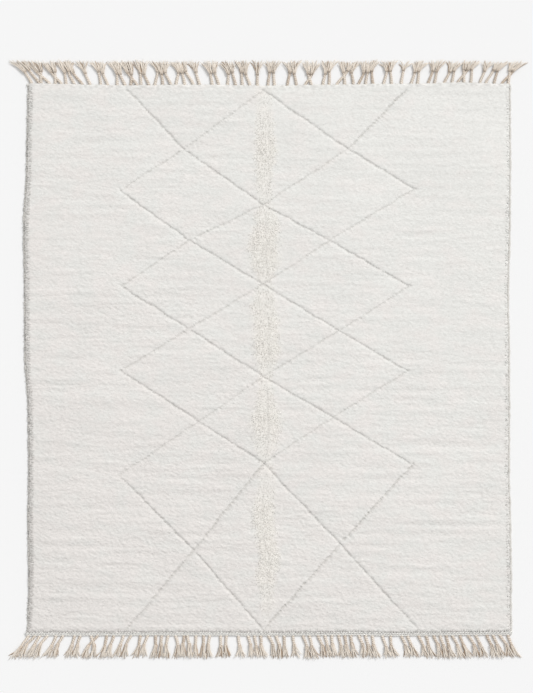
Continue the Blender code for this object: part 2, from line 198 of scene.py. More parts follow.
class RugSizes(bpy.types.PropertyGroup):
    grid_across: size("Pile grid across", "Spacing of the surface's points across the rug", 0.0060, 0.004)
    grid_along: size("Pile grid along", "Spacing of the surface's points along the rug", 0.0040, 0.003)
    tuft_width: size("Tuft width", "How far one tuft of the pile spreads across the rug", 0.020)
    tuft_length: size("Tuft length", "How much of a tuft the next row leaves in sight", 0.0115)
    tuft_relief: size("Tuft relief", "How far a tuft stands above the gap beside it", 0.00115)
    groove_depth: size("Groove depth", "How deep the lattice is carved into the pile", 0.0049)
    lock_length: size("Spine lock length", "Length of the long locks down the middle", 0.0130)
    lock_width: size("Spine lock width", "Width of the long locks down the middle", 0.0034)
    wrap_pitch: size("Wrap pitch", "Spacing of the wraps that overcast the sides", 0.0125)
    cord_width: size("Cord width", "Width of a two-ply cord where it leaves the band", 0.0168)
    yarn_width: size("Yarn width", "Width of one yarn in a tassel", 0.0046)
    ground_thickness: size("Ground thickness", "Thickness of the woven ground under the pile", 0.0024)


class RugColours(bpy.types.PropertyGroup):
    pile: finish_colour("Pile", "Ivory wool of the pile", (0.845, 0.811, 0.782))
    pile_cool: finish_colour("Cooler pile", "Fleeces spun in with the pile's", (0.818, 0.812, 0.783))
    # Painted shade: the colour the pile is darkened towards deep between its tufts, in the carving, at the
    # parting and along the rim
    pile_gap: finish_colour("Pile gaps", "Wool deep between the tufts", (0.60, 0.585, 0.555))
    spine: finish_colour("Spine", "Warmer wool down the middle", (0.935, 0.897, 0.83))
    edge: finish_colour("Selvedge", "Wool that overcasts the sides", (0.775, 0.75, 0.705))
    # Painted shade between the selvedges' wraps and the bands' plies, and the colour of their dark hairs
    edge_gap: finish_colour("Selvedge gaps", "Wool between the selvedges' wraps", (0.28, 0.275, 0.27))
    band: finish_colour("End bands", "Undyed yarn of the end bands", (0.90, 0.885, 0.845))
    yarn: finish_colour("Fringe yarn", "Cream yarn of the cords and tassels", (0.885, 0.82, 0.735))
    # Painted shade: the dark yarns under the brushes and the fringe's darkened gaps; also the colour of the
    # dark hairs in its yarn
    yarn_dark: finish_colour("Dark yarn", "The brown yarns and hairs among them", (0.46, 0.33, 0.225))
    ground: finish_colour("Ground", "Cotton of the woven ground", (0.70, 0.67, 0.60))
    floor: finish_colour("Floor", "The pale floor", (0.93, 0.93, 0.93))


class RugStage(bpy.types.PropertyGroup):
    sun_height: angle("Key height", "How high the key light stands over the floor", 38)
    sun_bearing: angle("Key bearing", "Where the key light stands, from +X towards +Y", 48)
    sun_spread: angle("Key spread", "How wide the key light looks, which softens its shadows", 22)
    sun_strength: bpy.props.FloatProperty(
        name="Key strength", description="Watts a square metre from the key light", default=1.9
    )
    sky_strength: bpy.props.FloatProperty(
        name="Fill strength", description="Strength of the even light from all round", default=0.62
    )


# ---- Numbers over the rug's surface


def ease(share):
    """From 0 to 1 with a soft start and stop."""
    share = np.clip(share, 0.0, 1.0)
    return share * share * (3 - 2 * share)


def read_table(rows, kind, column, place):
    """One column of a table, read smoothly between its rows at places along the first column."""
    table, column = np.array(rows), kind._fields.index(column)
    keys = table[:, 0]
    place = np.clip(place, keys[0], keys[-1])
    low = np.clip(np.searchsorted(keys, place, side="right") - 1, 0, len(keys) - 2)
    share = ease((place - keys[low]) / (keys[low + 1] - keys[low]))
    return table[low, column] + (table[low + 1, column] - table[low, column]) * share


def dice(name):
    """Random numbers that are the same each run, and different for each name."""
    return np.random.default_rng(zlib.crc32(name.encode()))


NOISE_CELLS = 256


def noise(name, x, y=0.0):
    """Smooth noise from -1 to 1, with a new value at each whole number of x and y."""
    table = dice(name).uniform(-1.0, 1.0, (NOISE_CELLS, NOISE_CELLS))
    left, low = np.floor(x).astype(int), np.floor(y).astype(int)
    across, up = ease(x - left), ease(y - low)
    left, right = left % NOISE_CELLS, (left + 1) % NOISE_CELLS
    low, high = low % NOISE_CELLS, (low + 1) % NOISE_CELLS
    below = table[left, low] * (1 - across) + table[right, low] * across
    above = table[left, high] * (1 - across) + table[right, high] * across
    return below * (1 - up) + above * up


# The unevenness of hand work: how far each kind strays, which is 1 where it is scaled later, and
# the spacing it changes at along each of the two places that it is read from
STRAYS = {
    # the pile
    "sway across": (0.010, 0.060, 0.030),
    "sway along": (0.007, 0.040, 0.050),
    "grain": (1.0, 0.0047, 0.0033),
    "coarseness": (0.35, 0.22, 0.16),
    "ripples": (1.0, 0.260, 0.026),
    "short ripples": (0.5, 0.080, 0.012),
    "rim streaks": (1.0, 0.013, 0.0065),
    "parting wander": (0.006, 0.045, 1.0),
    "spine side": (0.010, 0.020, 0.014),
    "crease wander": (0.004, 0.050, 1.0),
    # the carved lines
    "groove wander": (1.0, 0.0075, 1.0),
    "slow wander": (1.1, 0.070, 1.0),
    "groove beads": (1.0, 0.0046, 1.0),
    "bank": (0.5, 0.035, 1.0),
    # the pile's grid and the selvedges
    "rim wander": (0.0022, 0.012, 1.0),
    "end wander": (0.0022, 0.016, 1.0),
    "grid stray across": (0.0018, 0.007, 0.005),
    "grid stray along": (0.0012, 0.007, 0.005),
    "cord wander": (0.0022, 0.020, 1.0),
    "wrap stray": (0.16, 0.019, 1.0),
    "bulk": (0.06, 0.014, 1.0),
    "dark wraps": (1.0, 0.011, 1.0),
    # a twined strand: its path and its twist
    "wander": (0.0008, 0.030, 1.0),
    "stray": (0.5, 0.035, 1.0),
}


def stray(kind, first, second=0.0, of=""):
    """One kind of unevenness, which differs for each side or strand that of names."""
    reach, pace, second_pace = STRAYS[kind]
    return reach * noise(of + kind, first / pace, second / second_pace)


TUFT_STRAY = 0.42  # how far a tuft strays in its cell
TUFT_SPREAD = 0.85  # half a tuft's width, in cells
TUFT_BACK = 1.15  # how far it runs back under the row behind, in cells
TUFT_TIP = 0.55  # how far its tip hangs over the row in front, in cells
TUFT_HEIGHT, TUFT_UNEVENNESS = 0.8, 0.2  # how high a tuft is on average, and how far that strays


def tufts(x, y, width, length):
    """Overlapping tufts whose tips lean down the rug: the top one's height from 0 to 1."""
    table = dice("tufts").uniform(-1.0, 1.0, (3, NOISE_CELLS, NOISE_CELLS))
    across, along = x / width, y / length
    column, row = np.floor(across).astype(int), np.floor(along).astype(int)
    top = np.zeros_like(x)
    for step_row in (-1, 0, 1):
        for step_column in (-1, 0, 1):
            cell = (column + step_column) % NOISE_CELLS, (row + step_row) % NOISE_CELLS
            stray_x, stray_y, share = (table[k][cell] for k in range(3))
            brick = 0.25 + 0.5 * ((row + step_row) % 2)  # every other row is half a tuft along
            from_x = across - (column + step_column + brick + TUFT_STRAY * stray_x)
            from_y = along - (row + step_row + 0.5 + TUFT_STRAY * stray_y)
            reach = np.where(from_y < 0, TUFT_TIP, TUFT_BACK)
            away = (from_x / TUFT_SPREAD) ** 2 + (from_y / reach) ** 2
            top = np.maximum(top, (TUFT_HEIGHT + TUFT_UNEVENNESS * share) * (1 - away))
    return top


def edge(name, place, inset=0.0):
    """A line this far in from the rug's left, right, near or far edge, without its fringe."""
    rows, kind = (SIDE_ROWS, SideRow) if name in SideRow._fields else (END_ROWS, EndRow)
    return read_table(rows, kind, name, place) - OUTWARD[name] * inset


def pile_edge(name, place):
    """The edge of the knots, beside a selvedge or band."""
    return edge(name, place, BORDERS[name])


def hung_edge(name, place):
    """Where the pile's outermost tufts reach, over a selvedge or band."""
    return pile_edge(name, place) + OUTWARD[name] * OVERHANGS[name]


def rim_distance(x, y):
    across = np.minimum(x - hung_edge("left", y), hung_edge("right", y) - x)
    along = np.minimum(y - hung_edge("near", x), hung_edge("far", x) - y)
    return np.minimum(across, along)


def lattice_lines():
    """The carved lozenges as straight stretches between crossings."""
    lines = []
    for top_x, rows in ((LEFT_TOP_X, LEFT_LATTICE), (RIGHT_TOP_X, RIGHT_LATTICE)):
        tops = [(SPINE_X, LATTICE_TOP_Y), (top_x, LATTICE_TOP_Y)]
        for row in map(LatticeRow._make, rows):
            crossing = (row.inner, row.inner_y)
            ends = [(row.outer, row.outer_y), (SPINE_X, row.centre_y)]
            lines += [(start, crossing) for start in tops] + [(crossing, end) for end in ends]
            tops = ends
    return lines


def beside_line(x, y, start, end):
    """How far places lie above a line, how far along it, and how far past its ends."""
    run_x, run_y = end[0] - start[0], end[1] - start[1]
    if run_x < 0:
        start, run_x, run_y = end, -run_x, -run_y
    length = math.hypot(run_x, run_y)
    run_x, run_y = run_x / length, run_y / length
    along = (x - start[0]) * run_x + (y - start[1]) * run_y
    above = (y - start[1]) * run_x - (x - start[0]) * run_y
    past = np.abs(along - np.clip(along, 0.0, length))
    return above, along, past, (run_x, run_y)


GROOVE_WALL = 0.0058  # how far the steep upper wall of a groove reaches
GROOVE_BANK = 0.019  # how far its gentle lower bank reaches
BANK_SHARE = 0.34  # the share of the depth that the bank has
GROOVE_SAG = 0.0030  # how far the nap above a line hangs over it
GROOVE_WANDER = 0.0026
GROOVE_END = 0.008
BEAD_SHARES = {"falling": 0.60, "rising": 0.55}  # how uneven the two ways of line are cut
BEAD_TOP = 0.35  # the most that a bead deepens a line, as a share of its unevenness
RISING_DEPTH = 0.95  # the depth of the rising lines, beside that of the falling ones
STEEP_DEPTH = 0.50  # how much deeper the steep ones are
STEEP_RISE, STEEPER = 0.6, 0.15  # the rise a metre where they begin, and how much more is fully steep


def carved(x, y, depth):
    """How deep the lattice is cut at each place. The nap leans down the rug, over the cuts."""
    cut = np.zeros_like(x)
    for number, (start, end) in enumerate(lattice_lines()):
        above, along, past, (_, rise) = beside_line(x, y, start, end)
        wander = stray("groove wander", along, number) + stray("slow wander", along, number)
        above = above + GROOVE_SAG + GROOVE_WANDER * wander
        wall = np.exp(-((above / GROOVE_WALL) ** 2))
        bank = np.exp(np.minimum(above, 0.0) / GROOVE_BANK)
        share = BANK_SHARE * (1 + stray("bank", along, number))
        shape = np.where(above > 0, wall, (1 - share) * wall + share * bank)
        way = "falling" if rise < 0 else "rising"
        bead = 1 + BEAD_SHARES[way] * np.minimum(stray("groove beads", along, number), BEAD_TOP)
        if way == "rising":
            bead *= RISING_DEPTH + STEEP_DEPTH * ease((rise - STEEP_RISE) / STEEPER)
        cut = np.maximum(cut, depth * bead * shape * np.exp(-((past / GROOVE_END) ** 2)))
    return cut


def creased(x, y):
    """How deep the troughs of its folding and rolling are at each place."""
    cut = np.zeros_like(x)
    for row in map(CreaseRow._make, CREASE_ROWS):
        share = np.clip((x - row.start_x) / (row.end_x - row.start_x), 0, 1)
        above = y - (row.y + stray("crease wander", x, row.y))
        fade = np.sqrt(np.sin(np.pi * share) * (share < 1))
        cut = np.maximum(cut, CREASE_DEPTH * fade * np.exp(-((above / CREASE_WIDTH) ** 2)))
    return cut


# Where the shaggy stripe begins to fade and over how far, as shares of its half width
SPINE_SIDE, SPINE_FADE = 1.35, 0.8


def spine(x, y):
    """How much places belong to the shaggy middle stripe, and how far right of its parting they are."""
    left, right, parting, shag = (read_table(SPINE_ROWS, SpineRow, name, y) for name in SpineRow._fields[1:])
    from_middle = np.abs(x + stray("spine side", x, y) - (left + right) / 2) / ((right - left) / 2)
    return shag * ease((SPINE_SIDE - from_middle) / SPINE_FADE), x - (parting + stray("parting wander", y))


PARTING_WIDTH = 0.0070
PARTING_DEPTH = 0.0016
SPINE_RISE = 0.0008
GRAIN = 0.00074  # how far single tufts stand out of line
RIPPLE_HEIGHT = 0.0011
# The wool's curls: their width and length beside a tuft's, and their relief beside it
CURL_WIDTH, CURL_LENGTH, CURL_SHARE = 0.62, 0.58, 0.75
TUFT_LEVEL, CURL_LEVEL = 0.75, 0.65  # the heights of tufts and curls that count as the pile's level
# How coarse the relief is in the middle, and how much less so a metre to the right and far end
COARSE, LESS_ACROSS, LESS_ALONG = 1.30, 0.14, 0.36
SHAG_TUFTS, SHAG_RIPPLES, SHAG_GAPS = 0.2, 0.6, 0.5  # how much of each is lost under the long locks
RIM_STREAK = 0.0030
# How much painted shade the deepest gaps between tufts and curls, the carving, the parting and the rim get
TUFT_GAP, CURL_GAP, GROOVE_GAP, PARTING_GAP, RIM_GAP = 0.45, 0.35, 0.8, 0.35, 0.42


def pile_surface(x, y, sizes):
    """The pile's top at each place, and how much painted shade it gets there, from 0 to 1: most deep in gaps
    and cuts, at the parting and along the rim.
    """
    swayed_x, swayed_y = x + stray("sway across", x, y), y + stray("sway along", x, y)
    width, length = sizes.tuft_width, sizes.tuft_length
    big = tufts(swayed_x, swayed_y, width, length)
    curls = 1 - np.abs(noise("curls", swayed_x / (CURL_WIDTH * width), swayed_y / (CURL_LENGTH * length)))

    shag, from_parting = spine(x, y)
    coarse = COARSE + stray("coarseness", x, y) - LESS_ACROSS * x - LESS_ALONG * y
    relief = sizes.tuft_relief * (1 - SHAG_TUFTS * shag) * coarse
    ripples = RIPPLE_HEIGHT * (stray("ripples", x, y) + stray("short ripples", x, y)) * coarse
    ripples = ripples * (1 - SHAG_RIPPLES * shag)
    swell = SWELL_HEIGHT * sum(np.sin(across * x + along * y + start) for across, along, start in SWELL_WAVES)
    parting = PARTING_DEPTH * shag * np.exp(-((from_parting / PARTING_WIDTH) ** 2))
    cut = np.maximum(carved(x, y, sizes.groove_depth), creased(x, y))

    inset = np.maximum(rim_distance(x, y), 0.0)
    inside = np.minimum(inset / RIM_INSETS[-1], 1.0)
    streaks = stray("rim streaks", x, y)
    height = np.interp(inset, RIM_INSETS, RIM_HEIGHTS) + RIM_STREAK * (1 - inside) * streaks
    curled = CURL_SHARE * relief * (curls - CURL_LEVEL)
    height += relief * (big - TUFT_LEVEL) + curled + GRAIN * coarse * stray("grain", x, y)
    height += inside * (swell + ripples)
    height += inside * (SPINE_RISE * shag - parting - cut)
    # Painted shade. Inside the clips: how low a tuft or a curl is, or how deep a cut, before it gets painted
    # shade
    gap = TUFT_GAP * np.clip(1.05 - 1.2 * big, 0, 1) + CURL_GAP * np.clip(0.55 - curls, 0, 1)
    gap *= 1 - SHAG_GAPS * shag
    gap += GROOVE_GAP * np.clip(cut / sizes.groove_depth - 0.35, 0, 1) + PARTING_GAP * parting / PARTING_DEPTH
    # Painted shade along the rim, in streaks
    gap += RIM_GAP * (1 - inside) ** 1.5 * (1 + 2.0 * streaks)
    return height, np.clip(gap, 0, 1)


# ---- Meshes


def make_mesh(name, points, quads, flat_faces, values, corner_uv=None, normals=None):
    """A mesh of smooth quads and of arrays of flat faces, each array with one count of corners.

    values are named point values, corner_uv holds the faces' corners in the map named yarn, and
    normals are those of the points that the quads use.
    """
    every = [np.asarray(face, np.int32).reshape(len(face), -1) for face in (quads, *flat_faces)]
    corners = np.concatenate([face.ravel() for face in every])
    counts = np.concatenate([np.full(len(face), face.shape[1]) for face in every])
    mesh = bpy.data.meshes.new(name)
    mesh.vertices.add(len(points))
    mesh.vertices.foreach_set("co", np.asarray(points, np.float32).ravel())
    mesh.loops.add(len(corners))
    mesh.loops.foreach_set("vertex_index", corners)
    mesh.polygons.add(len(counts))
    mesh.polygons.foreach_set("loop_start", np.concatenate([[0], np.cumsum(counts)[:-1]]).astype(np.int32))
    mesh.polygons.foreach_set("use_smooth", np.arange(len(counts)) < len(quads))
    if corner_uv is not None:
        mesh.uv_layers.new(name="yarn").data.foreach_set("uv", np.asarray(corner_uv, np.float32).ravel())
    for label, value in values:
        attribute = mesh.attributes.new(label, "FLOAT", "POINT")
        attribute.data.foreach_set("value", np.asarray(value, np.float32).ravel())
    mesh.update(calc_edges=True)
    if mesh.validate():
        raise RuntimeError(f"{name} has faces that can't be right")
    if normals is not None:
        corner_normals = np.zeros((len(corners), 3), np.float32)
        corner_normals[: quads.size] = normals[quads.ravel()]
        mesh.normals_split_custom_set(corner_normals)
    return mesh


def add_piece(mesh, material, nodes=()):
    """One piece of the rug, which rides on its body and stands for the solids named."""
    mesh.materials.append(material)
    piece = bpy.data.objects.new(mesh.name, mesh)
    bpy.context.scene.collection.objects.link(piece)
    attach(piece, BODY)
    if nodes:
        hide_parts(*nodes)
    return piece


def unit(vectors):
    return vectors / np.maximum(np.linalg.norm(vectors, axis=-1, keepdims=True), 1e-9)


def crosswise(paths):
    """At each station of each path, the level direction across it and the one up from it."""
    ahead = unit(np.gradient(paths, axis=1))
    across = unit(np.stack([ahead[..., 1], -ahead[..., 0], np.zeros(ahead.shape[:2])], axis=-1))
    return across, np.cross(across, ahead)


def corner_turns(corners):
    """How far round a section each of its corners lies, with a flat at the bottom."""
    return 2 * np.pi * (np.arange(corners) + 0.5) / corners - np.pi / 2


def round_section(radii, corners, flatness=1.0):
    """Corner places across and up for round tubes, from their radii at each station."""
    turn = corner_turns(corners)
    return radii[..., None] * np.cos(turn), radii[..., None] * np.sin(turn) * flatness


LOWEST = 0.0002  # how near to the floor a strand may come


class Strands:
    """Closed tubes of yarn, gathered into one mesh."""

    def __init__(self):
        self.points, self.quads, self.caps, self.uv, self.cap_uv = [], [], {}, [], {}
        self.tones, self.gaps, self.count = [], [], 0

    def add(self, paths, across, up, tones, gaps=0.0):
        """paths is tube by station by xyz; across and up are each section's corners about its path."""
        tubes, stations, corners = across.shape
        level, lifted = crosswise(paths)
        points = paths[:, :, None] + level[:, :, None] * across[..., None]
        points += lifted[:, :, None] * up[..., None]
        points[..., 2] = np.maximum(points[..., 2], LOWEST)
        self.points.append(points.reshape(-1, 3))

        start = self.count + np.arange(tubes)[:, None, None] * stations * corners
        ring = np.arange(stations - 1)[None, :, None] * corners
        corner = np.arange(corners)[None, None, :]
        a, b = start + ring + corner, start + ring + (corner + 1) % corners
        self.quads.append(np.stack([a, a + corners, b + corners, b], axis=-1).reshape(-1, 4))
        steps = np.linalg.norm(np.diff(paths, axis=1), axis=-1)
        run = np.concatenate([np.zeros((tubes, 1)), np.cumsum(steps, axis=1)], axis=1)
        u_low = np.broadcast_to(corner / corners, (tubes, stations - 1, corners))
        v_low, v_high = (np.broadcast_to(v[..., None], u_low.shape) for v in (run[:, :-1], run[:, 1:]))
        u_high = u_low + 1 / corners
        uv = [(u_low, v_low), (u_low, v_high), (u_high, v_high), (u_high, v_low)]
        self.uv.append(np.stack([np.stack(pair, axis=-1) for pair in uv], axis=-2).reshape(-1, 2))

        first = start[:, 0] + np.arange(corners)
        self.caps.setdefault(corners, []).extend([first, first[:, ::-1] + (stations - 1) * corners])
        ends = np.repeat(np.concatenate([run[:, 0], run[:, -1]]), corners)
        self.cap_uv.setdefault(corners, []).append(np.stack([np.zeros_like(ends), ends], axis=-1))
        self.tones.append(np.repeat(np.broadcast_to(tones, tubes), stations * corners))
        gaps = np.asarray(gaps, float)
        gaps = gaps if gaps.ndim == 3 else np.broadcast_to(gaps, (tubes, stations))[..., None]
        self.gaps.append(np.broadcast_to(gaps, (tubes, stations, corners)).ravel())
        self.count += tubes * stations * corners

    def mesh(self, name, *values):
        join = np.concatenate
        caps, cap_uv = (list(map(join, parts.values())) for parts in (self.caps, self.cap_uv))
        values = [("tone", join(self.tones)), ("gap", join(self.gaps)), *values]
        return make_mesh(name, join(self.points), join(self.quads), caps, values, join(self.uv + cap_uv))


# ---- Materials


def add_node(tree, kind, inputs=(), **settings):
    """A shader node with its settings, and its inputs linked or set."""
    made = tree.nodes.new(kind)
    for name, value in settings.items():
        setattr(made, name, value)
    for name, value in dict(inputs).items():
        if isinstance(value, bpy.types.NodeSocket):
            tree.links.new(value, made.inputs[name])
        else:
            made.inputs[name].default_value = value
    return made


MIX_A, MIX_B, MIX_RESULT = 6, 7, 2  # the colour sockets of a Mix node


def mix(tree, share, first, second, how="MIX"):
    inputs = {0: share, MIX_A: first, MIX_B: second}
    return add_node(tree, "ShaderNodeMix", inputs, data_type="RGBA", blend_type=how).outputs[MIX_RESULT]


def reckon(tree, how, *values):
    return add_node(tree, "ShaderNodeMath", enumerate(values), operation=how).outputs[0]


def spread(tree, value, low, high, to_low=0.0, to_high=1.0):
    inputs = {"Value": value, "From Min": low, "From Max": high, "To Min": to_low, "To Max": to_high}
    return add_node(tree, "ShaderNodeMapRange", inputs).outputs[0]


def texture(tree, kind, place, sizes, **inputs):
    """A Noise or Voronoi texture whose grain has these sizes across, along and up, in metres."""
    inverse = [1 / size for size in sizes]
    place = add_node(tree, "ShaderNodeVectorMath", {0: place, 1: inverse}, operation="MULTIPLY").outputs[0]
    return add_node(tree, f"ShaderNodeTex{kind}", {"Vector": place, "Scale": 1.0, **inputs}).outputs[0]


def new_group(name, inputs, outputs):
    """An empty shader node group with its named sockets; returns it with its inner ends' sockets."""
    group = bpy.data.node_groups.new(name, "ShaderNodeTree")
    for way, sockets in (("INPUT", inputs), ("OUTPUT", outputs)):
        for label, kind in sockets.items():
            group.interface.new_socket(label, in_out=way, socket_type=f"NodeSocket{kind}")
    return group, group.nodes.new("NodeGroupInput").outputs, group.nodes.new("NodeGroupOutput").inputs


# How large the changes in the wool are across, along and up, in metres
PATCH_SIZE = (0.34, 0.26, 0.3)
BAND_SIZE = (0.24, 0.020, 0.3)
FLECK_SIZE = (0.0065, 0.0050, 0.004)
DYE_SIZE = (0.11, 0.075, 0.3)
CLUMP_SIZE = (0.013, 0.0060, 0.006)
HAIR_SIZE = (0.0045, 0.0016, 0.002)
SPUN_HAIR_SIZE = (1.1, 2.5, 1.0)  # in radians round the yarn, turns along it and metres
DYE_EDGES = (0.35, 0.65)  # the noise between which one colour goes over into the second
DYE_PAINTED_LIGHT_SHARE = 10.0  # how much faster than the painted light the second colour comes in
CLUMP_EDGE = 0.9  # how far from its middle a clump of fibres ends, in clumps
DARK_HAIRS = (0.52, 0.72)  # the noise between which hairs go over into dark ones


def colour_drift_group(name):
    """Wool's uneven colour: patches of a second colour, broad lighter patches, faint bands across the
    rug, a fine fleck, and a painted light slope whose shares a metre run across and along."""
    inputs = {"Place": "Vector", "Colour": "Color", "Patches": "Float", "Bands": "Float", "Fleck": "Float"}
    inputs |= {"Fading": "Vector", "Second colour": "Color"}
    group, start, end = new_group(name, inputs, {"Colour": "Color"})
    place = start["Place"]
    strengths = {
        "Patches": texture(group, "Noise", place, PATCH_SIZE, Detail=3.0),
        "Bands": texture(group, "Noise", place, BAND_SIZE, Detail=2.0),
        "Fleck": texture(group, "Noise", place, FLECK_SIZE, Detail=2.0),
    }
    # Painted light: the wool is painted paler along this slope, towards the key light, and its second colour
    # comes in along it
    painted_light = add_node(group, "ShaderNodeVectorMath", {0: place, 1: start["Fading"]}, operation="DOT_PRODUCT")
    painted_light = painted_light.outputs["Value"]
    shade = reckon(group, "ADD", painted_light, 1.0)
    for strength, value in strengths.items():
        level = spread(group, value, 0.3, 0.7, -1.0, 1.0)
        shade = reckon(group, "ADD", reckon(group, "MULTIPLY", level, start[strength]), shade)
    shades = dict.fromkeys(("Red", "Green", "Blue"), shade)
    grey = add_node(group, "ShaderNodeCombineColor", shades).outputs[0]
    dyes = texture(group, "Noise", place, DYE_SIZE, Detail=3.0)
    cooled = reckon(group, "MULTIPLY", painted_light, DYE_PAINTED_LIGHT_SHARE)
    share = reckon(group, "ADD", spread(group, dyes, *DYE_EDGES), cooled)
    wool = mix(group, share, start["Colour"], start["Second colour"])
    group.links.new(mix(group, 1.0, wool, grey, "MULTIPLY"), end["Colour"])
    return group


def fibre_group(name):
    """The lie of wool fibres as a height: clumped locks with fine hairs over them."""
    inputs = {"Place": "Vector", "Clump": "Float", "Hair": "Float"}
    group, start, end = new_group(name, inputs, {"Height": "Float"})
    clumps = texture(group, "Voronoi", start["Place"], CLUMP_SIZE)
    hairs = texture(group, "Noise", start["Place"], HAIR_SIZE, Detail=3.0)
    clumped = reckon(group, "MULTIPLY", spread(group, clumps, 0.0, CLUMP_EDGE, 1.0, 0.0), start["Clump"])
    haired = reckon(group, "MULTIPLY", hairs, start["Hair"])
    group.links.new(reckon(group, "ADD", clumped, haired), end["Height"])
    return group


def twist_group(name):
    """Spun yarn from its length map: slanting fibres, as a height and as a mask of the dark ones."""
    inputs, outputs = {"Pitch": "Float", "Strands": "Float"}, {"Height": "Float", "Dark": "Float"}
    group, start, end = new_group(name, inputs, outputs)
    places = add_node(group, "ShaderNodeUVMap", uv_map="yarn").outputs[0]
    parts = add_node(group, "ShaderNodeSeparateXYZ", {0: places}).outputs
    turns = reckon(group, "DIVIDE", parts["Y"], start["Pitch"])
    around = reckon(group, "MULTIPLY", parts["X"], start["Strands"])
    phase = reckon(group, "MULTIPLY", reckon(group, "ADD", turns, around), 2 * math.pi)
    length = add_node(group, "ShaderNodeCombineXYZ", {"X": phase, "Y": turns}).outputs[0]
    hairs = texture(group, "Noise", length, SPUN_HAIR_SIZE, Detail=3.0)
    ridge = spread(group, reckon(group, "SINE", phase), -1.0, 1.0)
    group.links.new(reckon(group, "ADD", ridge, hairs), end["Height"])
    group.links.new(spread(group, hairs, *DARK_HAIRS), end["Dark"])
    return group


GROUPS = {"Colour drift": colour_drift_group, "Wool fibres": fibre_group, "Spun yarn": twist_group}


def use_group(tree, name, **inputs):
    """The outputs of a shared group, which is made when it is first used."""
    group = bpy.data.node_groups.get(name) or GROUPS[name](name)
    inputs = {label.replace("_", " "): value for label, value in inputs.items()}
    return add_node(tree, "ShaderNodeGroup", inputs, node_tree=group).outputs


WOOL_LOOKS = {"Roughness": 0.92, "Specular IOR Level": 0.15, "Sheen Roughness": 0.45}


def new_wool(name, sheen):
    """An empty wool material: its tree, its shader's inputs and the place on the rug in metres."""
    material = bpy.data.materials.new(name)
    material.use_nodes = True
    tree = material.node_tree
    inputs = tree.nodes["Principled BSDF"].inputs
    for label, value in {**WOOL_LOOKS, "Sheen Weight": sheen}.items():
        inputs[label].default_value = value
    return material, tree, inputs, add_node(tree, "ShaderNodeTexCoord").outputs["Object"]


def put_on(tree, inputs, colour, height, strength, distance):
    """Gives the shader its colour and the bumps of this height."""
    bump = add_node(tree, "ShaderNodeBump", {"Height": height, "Strength": strength, "Distance": distance})
    tree.links.new(colour, inputs["Base Color"])
    tree.links.new(bump.outputs[0], inputs["Normal"])


def opaque(colour):
    return (*colour, 1.0)


def point_value(tree, name):
    return add_node(tree, "ShaderNodeAttribute", attribute_name=name).outputs["Fac"]


def tint(tree, wool, mask, share, colour):
    """Wool that takes this share of another colour where the mask is full."""
    return mix(tree, reckon(tree, "MULTIPLY", mask, share), wool, opaque(colour))


def shaded(tree, wool, lowest_tone, low, high):
    """Wool whose strands are lighter or darker with their tone."""
    shade = spread(tree, point_value(tree, "tone"), lowest_tone, 1.0, low, high)
    return mix(tree, 1.0, wool, shade, "MULTIPLY")


PILE_PAINTED_LIGHT = (0.022, 0.026, 0.0)  # painted light: the pile is painted a little paler to the right and the far end, towards the key light
SPINE_WARMTH = 0.65
# How far the painted shade takes the pile towards its shade colour
PILE_PAINTED_SHADE_SHARE = 0.6
# The pile's wool and that of its loose locks: its sheen, the strengths of its drifting colour, its
# fibres' relief, and how dark and light its locks are beside each other
IvoryWool = namedtuple("IvoryWool", "sheen patches bands fleck clump hair bump bump_height shades")
IVORY_WOOLS = {
    "pile_wool": IvoryWool(0.12, 0.018, 0.022, 0.06, 0.6, 0.5, 0.55, 0.0016, None),
    "lock_wool": IvoryWool(0.15, 0.010, 0.0, 0.03, 0.1, 0.8, 0.50, 0.0012, (0.975, 1.02)),
}


def ivory_material(name, colours):
    """Ivory wool that warms down the spine, is painted a little paler towards the key light, and takes
    painted shade deep between its tufts.
    """
    finish = IVORY_WOOLS[name]
    material, tree, shader, place = new_wool(name, finish.sheen)
    wool = use_group(
        tree,
        "Colour drift",
        Place=place,
        Colour=opaque(colours.pile),
        Second_colour=opaque(colours.pile_cool),
        Patches=finish.patches,
        Bands=finish.bands,
        Fleck=finish.fleck,
        Fading=PILE_PAINTED_LIGHT,
    )[0]
    wool = tint(tree, wool, point_value(tree, "spine"), SPINE_WARMTH, colours.spine)
    if finish.shades:
        wool = shaded(tree, wool, -1.0, *finish.shades)
    # Painted shade where the pile lies deep in gaps and cuts, at the parting and along the rim
    wool = tint(tree, wool, point_value(tree, "gap"), PILE_PAINTED_SHADE_SHARE, colours.pile_gap)
    fibres = use_group(tree, "Wool fibres", Place=place, Clump=finish.clump, Hair=finish.hair)[0]
    put_on(tree, shader, wool, fibres, finish.bump, finish.bump_height)
    return material


YARN_SHEEN = 0.1
# How far the painted shade takes yarn towards its dark colour
YARN_PAINTED_SHADE_SHARE = 0.75
YARN_SHADES = (0.94, 1.06)
YARN_DRIFT = {"Patches": 0.03, "Bands": 0.0, "Fleck": 0.05}
YARN_BUMP = (0.7, 0.0008)  # its strength and its height in metres
# Spun yarns: their colour and the colour of their painted shade and dark hairs, the share of the dark
# hairs, the length of a turn, and how many strands are twisted together
SpunWool = namedtuple("SpunWool", "colour dark hair_share pitch strands")
SPUN_WOOLS = {
    "overcast_wool": SpunWool("edge", "edge_gap", 0.3, 0.0042, 1.0),
    "band_wool": SpunWool("band", "edge_gap", 0.15, 0.009, 2.0),
    "fringe_wool": SpunWool("yarn", "yarn_dark", 0.35, 0.009, 2.0),
}


